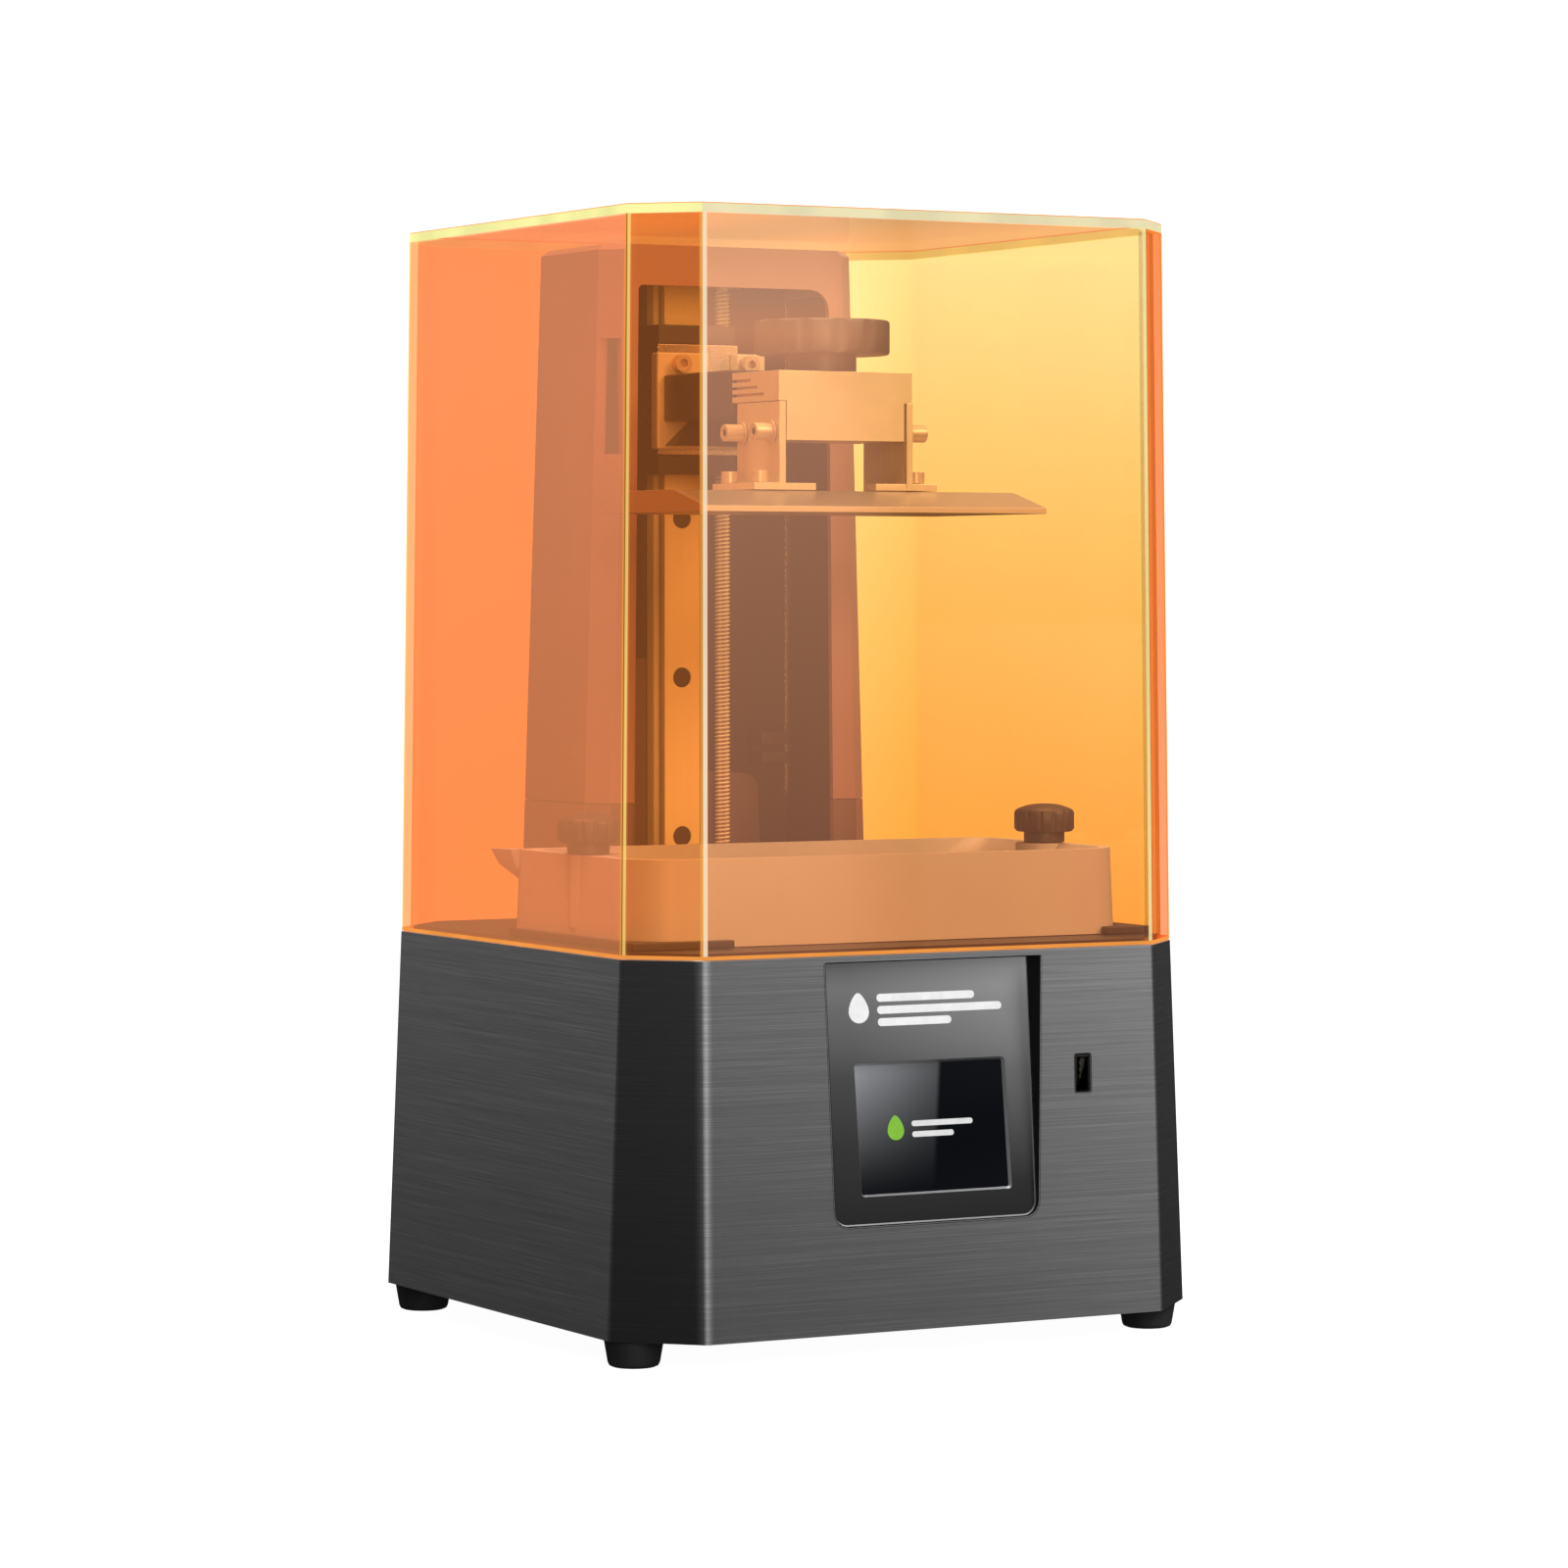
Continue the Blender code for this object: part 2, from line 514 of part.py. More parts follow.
def build_vat():
    outer = [(z, vat_outline(VAT_HALF_X[i], VAT_HALF_Y[i], 20.0, 9.0)) for i, z in enumerate(VAT_Z)]
    vat = loft("resin_vat", VAT_PLASTIC, outer)
    spout_tip = [(-106.5, WORK_Y + 57.5), (-98.0, WORK_Y + 54.0), (-92.0, WORK_Y + 46.0), (-97.0, WORK_Y + 42.0),
                 (-103.5, WORK_Y + 47.0)]
    root = [(x * 0.2 - 96.0 * 0.8, y * 0.2 + (WORK_Y + 46.0) * 0.8) for x, y in spout_tip]
    middle = [(x * 0.8 - 96.0 * 0.2, y * 0.8 + (WORK_Y + 46.0) * 0.2) for x, y in spout_tip]
    join(vat, loft("spout", None, [(164.0, root), (170.5, middle), (VAT_Z[1], spout_tip)]))
    floor_top = 152.0
    pool = [(floor_top, vat_outline(VAT_HALF_X[1] - 20.0, VAT_HALF_Y[1] - 6.2, 14.0, 12.0)),
            (168.0, vat_outline(VAT_HALF_X[1] - 12.0, VAT_HALF_Y[1] - 4.0, 16.0, 12.0)),
            (VAT_Z[1] + 1.0, vat_outline(VAT_HALF_X[1] - VAT_WALL, VAT_HALF_Y[1] - VAT_WALL, 17.0, 7.0))]
    cut(vat, loft("pool_cut", None, pool))
    lip = [(-104.0, WORK_Y + 54.5), (-98.5, WORK_Y + 50.0), (-94.0, WORK_Y + 44.0), (-100.0, WORK_Y + 45.5)]
    sunk = [(x * 0.5 - 95.0 * 0.5, y * 0.5 + (WORK_Y + 44.0) * 0.5) for x, y in lip]
    cut(vat, loft("spout_cut", None, [(171.0, sunk), (VAT_Z[1] + 1.0, lip)]))
    for side in (-1, 1):
        place = (side * (VAT_KNOB_X - 2.0), WORK_Y, 150.0)
        join(vat, rod("knob_boss", None, 9.0, place, VAT_Z[1] - place[2], steps=28))
    cut(vat, prism("pool_floor_cut", None, rectangle(*VAT_POOL, (0, WORK_Y), 4.0, 3), 140.0, 155.0),
        prism("film_seat_cut", None, rectangle(FILM_HALF[0] + 0.5, FILM_HALF[1] + 0.5, (0, WORK_Y), 5.0, 3),
              140.0, FILM_Z + 0.6))
    for side, label in ((-1, "left"), (1, "right")):
        x = side * VAT_KNOB_X
        cut(vat, rod("stud_bore", None, STUD_BORE, (x, WORK_Y, 140.0), 45.0, steps=16),
            block("side_groove", None, (x + side * 5.0, WORK_Y - 0.9, 140.0), (x + side * 5.9, WORK_Y + 0.9, 190.0)))
        build_vat_knob("vat_knob_" + label, x)

    film_outline = rectangle(*FILM_HALF, (0, WORK_Y), 5.0, 3)
    prism("release_film", FILM, film_outline, FILM_Z, FILM_Z + 0.3)
    frame = prism("film_frame", ALUMINIUM, film_outline, VAT_Z[0] + 0.2, FILM_Z - GAP)
    cut(frame, prism("frame_window", None, rectangle(*VAT_POOL, (0, WORK_Y), 4.0, 3), 140.0, 155.0))


def build_vat_knob(name, x):
    """A fluted thumb knob on a collar, with the stud that runs down into the deck."""
    seat = VAT_Z[1] + GAP
    head, radius = VAT_KNOB_HEAD, VAT_KNOB_RADIUS
    profile = [(0, head[1]), (4.5, head[1] - 0.25), (8.0, head[1] - 1.2), (radius - 0.5, head[1] - 2.6),
               (radius, head[1] - 3.4), (radius, head[0] + 1.2), (radius - 1.2, head[0]), (7.6, head[0]),
               (7.6, seat), (2.5, seat), (2.5, 141.0), (0, 141.0)]
    knob = turned(name, BLACK_PLASTIC, profile, (x, WORK_Y, 0), 36)
    for i in range(VAT_KNOB_FLUTES):
        turn = 2 * math.pi * i / VAT_KNOB_FLUTES
        place = (x + (radius + 0.55) * math.cos(turn), WORK_Y + (radius + 0.55) * math.sin(turn), head[0] - 1)
        cut(knob, rod("flute", None, 1.15, place, 9.0, steps=8))


# ---------------------------------------------------------------- column and drive


def column_outline(height, inset=0.0, narrowing=0.0):
    share = (height - DECK_Z[1]) / (COLUMN_TOP - DECK_Z[1])
    half = between(COLUMN_HALF, share) - inset - narrowing
    rear = between(COLUMN_REAR, share) - inset - narrowing
    front = COLUMN_FRONT + inset
    chamfer = COLUMN_CHAMFER - inset * (2 - math.sqrt(2))
    corners = [(-half + chamfer, front), (half - chamfer, front), (half, front + chamfer), (half, rear),
               (-half, rear), (-half, front + chamfer)]
    return rounded(corners, [1.0, 1.0, 1.0, 4.0, 4.0, 1.0], 2)


def hollow_out(piece, low, high):
    """Leaves a wall all round, and a liner beside the slot."""
    hollow = loft(piece.name + "_hollow", None, [(z, column_outline(z, COLUMN_WALL)) for z in (low, high)])
    for side in (-1, 1):
        left, right = sorted(side * x for x in LINER_X)
        cut(hollow, block("slot_liner", None, (left, COLUMN_FRONT - 4.0, low - 5), (right, BACKPLATE_Y[1], high + 5)))
    return cut(piece, hollow)


def build_column():
    low = DECK_Z[1] + GAP
    split = (COLUMN_SPLIT - GAP, COLUMN_SPLIT)
    base = loft("column_base", COLUMN_SHEET, [(z, column_outline(z)) for z in (low, split[0])])
    hollow_out(base, low - 1.0, split[0] + 1.0)
    foot, top = (SLOT_HALF[0], low - 5.0), (SLOT_HALF[1], SLOT_TOP)
    slot = rounded([(-foot[0], foot[1]), foot, top, (-top[0], top[1])], [1.0, 1.0, 8.0, 2.0], 5)
    cut(base, prism("slot_cut", None, slot, COLUMN_FRONT - 6.0, BACKPLATE_Y[1], "Y"))
    strip = block("guard_strip", None, (-LINER_X[0] - 1, 72.9, low), (LINER_X[0] + 1, 73.7, 158.0))
    guard = rounded([(2, low), (32.5, low), (29.5, 199.0), (17.0, 201.0), (2, 201.0)], [0.5, 0.5, 5.0, 3.0, 1.0], 4)
    duct = [(-34.0, low), (-19.2, low), (-19.2, 244.5), (-34.0, 244.5)]
    join(base, strip, prism("screw_guard", None, guard, 72.95, 73.65, "Y"),
         prism("cable_duct", None, duct, 71.2, 73.6, "Y"))

    heights = (split[1], COLUMN_TOP - COLUMN_TOP_BEVEL)
    sections = [(z, column_outline(z)) for z in heights]
    sections.append((COLUMN_TOP, column_outline(COLUMN_TOP, 0.0, COLUMN_TOP_BEVEL)))
    cover = loft("column_cover", COLUMN_SHEET, sections)
    hollow_out(cover, split[1] - 1.0, COLUMN_TOP - COLUMN_WALL)
    notch = block("vent_notch", None, (-60.0, COLUMN_FRONT - 4.0, 321.0), (-47.5, COLUMN_FRONT + 6.5, 364.0))
    cut(cover, prism("slot_cut", None, slot, COLUMN_FRONT - 6.0, BACKPLATE_Y[1], "Y"), notch)

    block("rail_backplate", DARK_ALUMINIUM, (-LINER_X[0] + GAP, BACKPLATE_Y[0], low),
          (LINER_X[0] - GAP, BACKPLATE_Y[1], COLUMN_TOP - 5.0))


def build_drive():
    half = RAIL_WIDTH / 2
    waist = half - 1.7
    profile = [(-half, RAIL_Y[0]), (half, RAIL_Y[0]), (half, RAIL_Y[0] + 3.2), (waist, RAIL_Y[0] + 4.9),
               (waist, RAIL_Y[0] + 7.4), (half, RAIL_Y[0] + 9.1), (half, RAIL_Y[1]), (-half, RAIL_Y[1]),
               (-half, RAIL_Y[0] + 9.1), (-waist, RAIL_Y[0] + 7.4), (-waist, RAIL_Y[0] + 4.9),
               (-half, RAIL_Y[0] + 3.2)]
    rail = prism("linear_rail", STEEL, [(RAIL_X + x, y) for x, y in profile], *RAIL_Z)
    for hole in range(4):
        z = 177.0 + hole * RAIL_HOLE_PITCH
        cut(rail, rod("rail_hole", None, 3.8, (RAIL_X, RAIL_Y[0] - 2, z), 7.5, "Y", 20))

    sides = (RAIL_X - CARRIAGE_HALF, RAIL_X + CARRIAGE_HALF)
    channel = (RAIL_X - half - 0.4, RAIL_X + half + 0.4)
    front, back = CARRIAGE_Y
    section = [(sides[0], front), (sides[1], front), (sides[1], back), (channel[1], back),
               (channel[1], RAIL_Y[0] - 0.4), (channel[0], RAIL_Y[0] - 0.4), (channel[0], back), (sides[0], back)]
    prism("rail_carriage", STEEL, section, *CARRIAGE_Z)
    cap = [(x + math.copysign(0.7, RAIL_X - x) if abs(x - RAIL_X) > 10 else x, min(max(y, front + 0.7), back - 0.7))
           for x, y in section]
    prism("carriage_cap_top", BLACK_PLASTIC, cap, CARRIAGE_Z[1] + GAP, CARRIAGE_Z[1] + GAP + CARRIAGE_CAP)
    prism("carriage_cap_bottom", BLACK_PLASTIC, cap, CARRIAGE_Z[0] - GAP - CARRIAGE_CAP, CARRIAGE_Z[0] - GAP)

    x, y = SCREW_AXIS
    shaft = SCREW_Z
    turned("lead_screw", STEEL, [(0, shaft[1]), (2.2, shaft[1]), (2.2, 385.0), (SCREW_RADIUS, 384.0),
                                 (SCREW_RADIUS, 145.5), (2.5, 145.0), (2.5, shaft[0]), (0, shaft[0])], (x, y, 0), 20)
    motor = block("z_motor", DARK_ALUMINIUM, (x - MOTOR_HALF, y - MOTOR_HALF, 101.0),
                  (x + MOTOR_HALF, y + MOTOR_HALF, BASE_Z[1] - 0.2), 3.0)
    join(motor, rod("motor_boss", None, 11.0, (x, y, 140.0), 4.4))
    cut(motor, rod("motor_bore", None, 3.4, (x, y, 105.0), 60.0, steps=20))

    nut_z = (321.5, 333.0)
    bracket = block("nut_bracket", ALUMINIUM, (x - 2.0, NUT_BRACKET_FRONT, 322.5), (x + 11.0, y + 3.2, 332.0), 0.8)
    nut = rod("lead_nut", BRASS, 4.4, (x, y, nut_z[0]), nut_z[1] - nut_z[0])
    cut(nut, rod("nut_bore", None, SCREW_RADIUS + 0.25, (x, y, 300.0), 60.0, steps=20))
    cut(bracket, rod("nut_seat", None, 4.7, (x, y, 300.0), 60.0))

    bearing_z = (386.2, 390.8)
    holder = block("bearing_block", ALUMINIUM, (x - 10, 58.0, 385.5), (x + 10, BACKPLATE_Y[0] - GAP, 391.5), 0.8)
    cut(holder, rod("bearing_seat", None, 6.9, (x, y - 2.6, 380.0), 30.0))
    cut(holder, rod("bearing_seat", None, 6.9, (x, y, 380.0), 30.0))
    ring = rod("screw_bearing", STEEL, 4.6, (x, y, bearing_z[0]), bearing_z[1] - bearing_z[0])
    cut(ring, rod("ring_bore", None, 2.5, (x, y, 380.0), 30.0, steps=20))

    sensor = block("z_limit_sensor", BLACK_PLASTIC, (26.0, 62.0, 204.0), (38.0, BACKPLATE_Y[0] - GAP, 216.0), 0.5)
    cut(sensor, block("sensor_gap", None, (24.0, 60.0, 208.5), (45.0, 69.0, 211.5)))


# ---------------------------------------------------------------- build head


def build_head():
    face = ARM_Y[1] + GAP
    plate = block("arm_mount_plate", ALUMINIUM, (-30.4, face, 323.2), (15.5, CARRIAGE_Y[0] - GAP, 359.3), 0.5)
    cut(plate, block("screw_notch", None, (-9.0, 30.0, 351.2), (3.4, 60.0, 370.0)))
    for label, x in (("left", -21.0), ("right", 7.9)):
        cut(plate, rod("mount_hole", None, 2.3, (x, 30.0, 355.2), 30.0, "Y", 16))
        screw = rod("mount_screw_" + label, STEEL, 3.5, (x, face - GAP - 3.4, 355.2), 3.4, "Y", 20)
        cut(screw, rod("hex_socket", None, 1.7, (x, face - 10.0, 355.2), 8.3, "Y", 6))
        join(screw, rod("shank", None, 2.0, (x, face - 1.0, 355.2), 6.0, "Y", 16))

    arm = block("z_arm", DARK_ALUMINIUM, (-ARM_HALF, ARM_Y[0], ARM_Z[0]), (ARM_HALF, ARM_Y[1], ARM_Z[1]), 0.6)
    gusset = [(-27.6, 324.4), (14.0, 324.4), (14.0, 334.0), (-17.5, 334.0), (-17.5, 333.6)]
    join(arm, prism("arm_gusset", None, gusset, ARM_Y[1] - 8.0, ARM_Y[1], "Y"),
         block("arm_tongue", None, (-14.0, -42.0, 336.0), (14.0, -10.0, 345.0)))

    section = [(-BLOCK_HALF[0], BLOCK_Z[0]), (BLOCK_HALF[0], BLOCK_Z[0]), (BLOCK_HALF[0], BLOCK_STEP_Z),
               (BLOCK_HALF[1], BLOCK_STEP_Z), (BLOCK_HALF[1], BLOCK_Z[1]), (-BLOCK_HALF[1], BLOCK_Z[1]),
               (-BLOCK_HALF[1], BLOCK_STEP_Z), (-BLOCK_HALF[0], BLOCK_STEP_Z)]
    head = prism("head_block", ALUMINIUM, section, *BLOCK_Y, "Y")
    cut(head, block("tongue_slot", None, (-14.4, -42.4, 335.6), (14.4, 0.0, 345.4)),
        rod("knob_bore", None, 3.4, (0, KNOB_Y, 344.0), 20.0, steps=20))
    for side in (-1, 1):
        for i in range(3):
            z = 346.4 - i * 2.6
            left, right = sorted((side * 25.9, side * 30.0))
            cut(head, block("side_slit", None, (left, BLOCK_Y[1] - 14.0 - i * 5.0, z - 0.5), (right, 0.0, z + 0.5)))
    build_clamp_knob()

    outline = [(PLATE_Y[0], PLATE_Z[0]), (PLATE_Y[1], PLATE_Z[0]), (PLATE_Y[1], PLATE_Z[0] + 2.1),
               (PLATE_Y[1] - 23.0, PLATE_Z[1]), (PLATE_Y[0] + 23.0, PLATE_Z[1]), (PLATE_Y[0], PLATE_Z[0] + 2.1)]
    deck = prism("build_plate", ALUMINIUM, outline, -PLATE_HALF, PLATE_HALF, "X")
    for side, label in ((-1, "left"), (1, "right")):
        build_bracket(deck, head, side, label)


def build_clamp_knob():
    """The scalloped hand knob, its collar, and the threaded stud that presses on the arm's tongue."""
    radius, disc = KNOB_RADIUS, KNOB_DISC
    profile = [(0, disc[1]), (radius - 1.0, disc[1]), (radius, disc[1] - 1.0), (radius, disc[0] + 1.0),
               (radius - 1.0, disc[0]), (12.5, disc[0]), (12.5, BLOCK_Z[1] + GAP), (3.0, BLOCK_Z[1] + GAP),
               (3.0, 345.4), (0, 345.4)]
    knob = turned("clamp_knob", BLACK_PLASTIC, profile, (0, KNOB_Y, 0), 60)
    for i in range(KNOB_SCALLOPS):
        turn = 2 * math.pi * (i + 0.5) / KNOB_SCALLOPS
        place = (30.4 * math.cos(turn), KNOB_Y + 30.4 * math.sin(turn), disc[0] - 2)
        cut(knob, rod("scallop", None, 6.6, place, 18.0, steps=20))


def build_bracket(deck, head, side, label):
    """An angle bracket between the head block's side and the build plate, with its four screws."""
    foot = PLATE_Z[1] + GAP
    outer = side * BLOCK_HALF[1]
    inner = outer - side * BRACKET_THICK
    sole = foot + BRACKET_THICK
    far = side * 38.0
    section = [(inner, foot), (far, foot), (far, sole), (outer, sole), (outer, BLOCK_STEP_Z - GAP),
               (inner, BLOCK_STEP_Z - GAP)]
    bracket = prism("bracket_" + label, ALUMINIUM, section, -49.6, -17.5, "Y")
    tab = [side * 12.5, side * 25.8]
    join(bracket, block("inner_tab", None, (min(tab), -49.2, foot), (max(tab), -41.0, sole), 0.0))
    for i, y in enumerate(LIMB_SCREW_YS):
        z = LIMB_SCREW_Z
        low, high = sorted((outer - side * 15.0, outer + side * 5.0))
        cut(bracket, rod("limb_hole", None, 1.9, (low, y, z), high - low, "X", 16))
        cut(head, rod("thread_hole", None, 1.9, (low, y, z), high - low, "X", 16))
        start = outer + side * GAP
        name = f"side_screw_{label}_{'front' if i == 0 else 'rear'}"
        screw = rod(name, STEEL, 4.1, (min(start, start + side), y, z), 1.0, "X", 20)
        join(screw, rod("cap", None, 3.15, (min(start, start + side * 7.6), y, z), 7.6, "X", 20))
        shank = sorted((start - side * 11.0, start + side * 2.0))
        join(screw, rod("shank", None, 1.5, (shank[0], y, z), shank[1] - shank[0], "X", 12))
        socket = sorted((start + side * 5.4, start + side * 9.0))
        cut(screw, rod("hex_socket", None, SOCKET_RADIUS, (socket[0], y, z), socket[1] - socket[0], "X", 6))
    for i, y in enumerate(FLANGE_SCREW_YS):
        x = side * FLANGE_SCREW_X
        cut(bracket, rod("flange_hole", None, 1.9, (x, y, foot - 2), 8.0, steps=16))
        cut(deck, rod("plate_hole", None, 1.9, (x, y, PLATE_Z[1] - 5.0), 8.0, steps=16))
        name = f"flange_screw_{label}_{'front' if i == 0 else 'rear'}"
        screw = rod(name, STEEL, 3.15, (x, y, sole + GAP), 4.2, steps=20)
        join(screw, rod("shank", None, 1.5, (x, y, sole - 6.0), 8.0, steps=12))
        cut(screw, rod("hex_socket", None, SOCKET_RADIUS, (x, y, sole + 2.6), 5.0, steps=6))


def build_cover():
    shell = loft("cover_shell", ORANGE_ACRYLIC, [(z, cover_outline(z)) for z in COVER_Z])
    inner_z = (COVER_Z[0] - 1.0, COVER_Z[1] - COVER_TOP)
    cut(shell, loft("cover_hollow", None, [(z, cover_outline(z, COVER_WALL)) for z in inner_z]))


build_base()
build_panel()
build_rear_sockets()
build_light_engine()
build_fan()
build_vat()
build_column()
build_drive()
build_head()
build_cover()
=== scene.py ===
"""The looks of a desktop resin printer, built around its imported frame.

Shapes are in millimetres until a mesh is made, and MM turns them into metres. Places in a material, the
camera and the lights are in metres. -Y is the front, +Z is up.
"""

import math

import bmesh
import bpy
from mathutils import Matrix, Vector


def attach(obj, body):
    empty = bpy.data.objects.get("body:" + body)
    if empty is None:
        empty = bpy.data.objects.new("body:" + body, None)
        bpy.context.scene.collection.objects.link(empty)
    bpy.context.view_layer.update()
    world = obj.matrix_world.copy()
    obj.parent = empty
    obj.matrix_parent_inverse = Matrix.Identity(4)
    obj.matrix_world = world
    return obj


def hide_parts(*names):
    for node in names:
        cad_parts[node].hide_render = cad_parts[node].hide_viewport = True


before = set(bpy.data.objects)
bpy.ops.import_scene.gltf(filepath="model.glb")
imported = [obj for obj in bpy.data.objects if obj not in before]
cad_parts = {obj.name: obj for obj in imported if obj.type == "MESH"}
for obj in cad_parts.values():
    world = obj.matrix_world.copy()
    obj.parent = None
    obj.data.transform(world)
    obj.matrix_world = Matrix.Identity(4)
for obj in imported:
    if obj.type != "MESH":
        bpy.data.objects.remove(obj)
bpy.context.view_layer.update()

MM = 0.001
WORK_Y = -31.0  # line of the vat, the display and the build head

# ---------------------------------------------------------------- camera

YAW, PITCH = math.radians(-28.83), math.radians(-2.04)
camera = bpy.data.objects.new("camera", bpy.data.cameras.new("camera"))
camera.location = (-0.9635, -1.7529, 0.2698)
camera.rotation_euler = (math.pi / 2 + PITCH, 0.0, YAW)
camera.data.lens = 123.9
camera.data.sensor_width = 36.0
camera.data.clip_start = 0.05
bpy.context.scene.collection.objects.link(camera)
bpy.context.scene.camera = camera
bpy.context.scene.view_settings.view_transform = "Standard"

# ---------------------------------------------------------------- node helpers


class Graph:
    """A material's nodes, made one call at a time. A socket or a plain number goes in as an input."""

    def __init__(self, name, transparent=False):
        self.material = bpy.data.materials.new(name)
        self.material.use_nodes = True
        self.tree = self.material.node_tree
        self.tree.nodes.clear()
        if transparent:
            self.material.surface_render_method = "BLENDED"

    def node(self, kind, inputs=(), out=0, **settings):
        made = self.tree.nodes.new(kind)
        for key, value in settings.items():
            setattr(made, key, value)
        for key, value in dict(inputs).items():
            if isinstance(value, bpy.types.NodeSocket):
                self.tree.links.new(value, made.inputs[key])
            else:
                made.inputs[key].default_value = value
        return made.outputs[out]

    def place(self):
        return self.node("ShaderNodeTexCoord", out="Object")

    def noise(self, scale, detail=2.0, rough=0.5, stretch=(1.0, 1.0, 1.0)):
        """Noise whose marks are about 1 / (scale * stretch) metres long along each axis."""
        size = tuple(scale * s for s in stretch)
        mapped = self.node("ShaderNodeMapping", {"Vector": self.place(), "Scale": size})
        return self.node("ShaderNodeTexNoise", {"Vector": mapped, "Scale": 1.0, "Detail": detail,
                                                "Roughness": rough})

    def ramp(self, factor, stops):
        """A colour ramp: each stop is a place and a colour, or a place and a grey."""
        made = self.tree.nodes.new("ShaderNodeValToRGB")
        while len(made.color_ramp.elements) < len(stops):
            made.color_ramp.elements.new(0.5)
        for element, (place, color) in zip(made.color_ramp.elements, stops):
            element.position = place
            element.color = (*color, 1.0) if hasattr(color, "__len__") else (color, color, color, 1.0)
        self.tree.links.new(factor, made.inputs["Fac"])
        return made.outputs["Color"]

    def span(self, value, low, high, to_low=0.0, to_high=1.0):
        return self.node("ShaderNodeMapRange", {"Value": value, "From Min": low, "From Max": high,
                                                "To Min": to_low, "To Max": to_high})

    def math(self, operation, a, b=0.0):
        return self.node("ShaderNodeMath", {0: a, 1: b}, operation=operation)

    def axis(self, letter):
        return self.node("ShaderNodeSeparateXYZ", {0: self.place()}, out="XYZ".index(letter))

    def mixed(self, factor, a, b, blend="MIX"):
        made = self.tree.nodes.new("ShaderNodeMix")
        made.data_type = "RGBA"
        made.blend_type = blend
        for key, value in ((0, factor), (6, a), (7, b)):
            if isinstance(value, bpy.types.NodeSocket):
                self.tree.links.new(value, made.inputs[key])
            elif key:
                made.inputs[key].default_value = (*value, 1.0)
            else:
                made.inputs[key].default_value = value
        return made.outputs[2]

    def painted_shade_downwards(self, tone, fade):
        """Paints shade downwards: fade = (height in millimetres, share of the tone) pairs, lowest first."""
        if not fade:
            return tone
        low, high = fade[0][0], fade[-1][0]
        height = self.span(self.axis("Z"), low * MM, high * MM)
        shares = self.ramp(height, [((z - low) / (high - low), share) for z, share in fade])
        return self.mixed(1.0, tone, shares, "MULTIPLY")

    def facing(self, index):
        """How far a face's normal points along +X, +Y or +Z, for index 0, 1 or 2."""
        normal = self.node("ShaderNodeTexCoord", out="Normal")
        return self.node("ShaderNodeSeparateXYZ", {0: normal}, out=index)

    def sheen(self, amount):
        """How much a clear face mirrors, square on and edge on, alike from both of its sides."""
        edge_on = self.math("POWER", self.node("ShaderNodeLayerWeight", out=1), 4.0)
        return self.span(edge_on, 0.0, 1.0, 0.04 * amount, amount)

    def bump(self, height, strength, distance):
        return self.node("ShaderNodeBump", {"Height": height, "Strength": strength, "Distance": distance})

    def end(self, shader):
        target = self.tree.nodes.new("ShaderNodeOutputMaterial")
        self.tree.links.new(shader, target.inputs["Surface"])
        return self.material


def shade(color, amount):
    """A colour made darker or lighter."""
    return tuple(min(c * amount, 1.0) for c in color)


def finish(name, color, roughness, metallic, mottle, mottle_size, grain, grain_bump, front=None, **sockets):
    """A solid surface: a broad change of tone, a fine grain in its roughness, and the grain again as bump.
    Faces that look forward are multiplied by front, which paints light and shade on them."""
    g = Graph(name)
    broad = g.noise(mottle_size, 3.0, 0.55)
    fine = g.noise(grain, 4.0, 0.6)
    tone = g.mixed(g.span(broad, 0.3, 0.7), shade(color, 1.0 - mottle), shade(color, 1.0 + mottle))
    tone = g.mixed(g.span(fine, 0.25, 0.75, 0.0, 0.5), tone, shade(color, 1.0 + 2 * mottle))
    # painted light and shade on the faces that look forward
    if front:
        forward = g.span(g.facing(1), -0.5, -0.95)
        tone = g.mixed(1.0, tone, g.mixed(forward, (1.0, 1.0, 1.0), front), "MULTIPLY")
    rough = g.span(fine, 0.2, 0.8, roughness * 0.85, min(roughness * 1.2, 1.0))
    inputs = {"Base Color": tone, "Roughness": rough, "Metallic": metallic,
              "Normal": g.bump(fine, grain_bump, 0.0004)}
    inputs.update(sockets)
    return g.end(g.node("ShaderNodeBsdfPrincipled", inputs))


def housing_shade(g):
    """What the housing's tone is multiplied by, and how much soft painted highlight lies on it.

    All of it is painted light and shade: the sides a little darker, the cut-off corners darkest, more so
    towards the foot. The front rises in tone to its right, and its left edge gets a soft painted glint.
    """
    across, along = g.facing(0), g.facing(1)
    front = g.math("MULTIPLY", along, along)
    slanting = g.math("MULTIPLY", g.math("MULTIPLY", g.math("MULTIPLY", across, across), front), 4.0)
    corner = g.math("POWER", slanting, 3.0)
    rise = g.ramp(g.span(g.axis("X"), -0.12, 0.12), ((0.0, 0.46), (0.5, 0.55), (1.0, 0.76)))
    face = g.mixed(front, (0.6, 0.6, 0.6), rise)
    low = g.ramp(g.span(g.axis("Z"), 0.01, 0.142), ((0.0, 0.38), (1.0, 0.56)))
    face = g.mixed(1.0, face, g.mixed(corner, (1.0, 1.0, 1.0), low), "MULTIPLY")
    edge_x = g.span(g.axis("Z"), 0.01, 0.1423, -0.0933, -0.0917)  # the front's left edge leans
    away = g.math("ABSOLUTE", g.math("SUBTRACT", g.axis("X"), edge_x))
    near = g.math("POWER", g.span(away, 0.0, 0.0032, 1.0, 0.0), 1.5)
    glint = g.math("MULTIPLY", near, g.math("LESS_THAN", along, 0.0))
    return g.mixed(1.0, face, g.mixed(glint, (1.0, 1.0, 1.0), (1.45, 1.45, 1.45)), "MULTIPLY"), glint


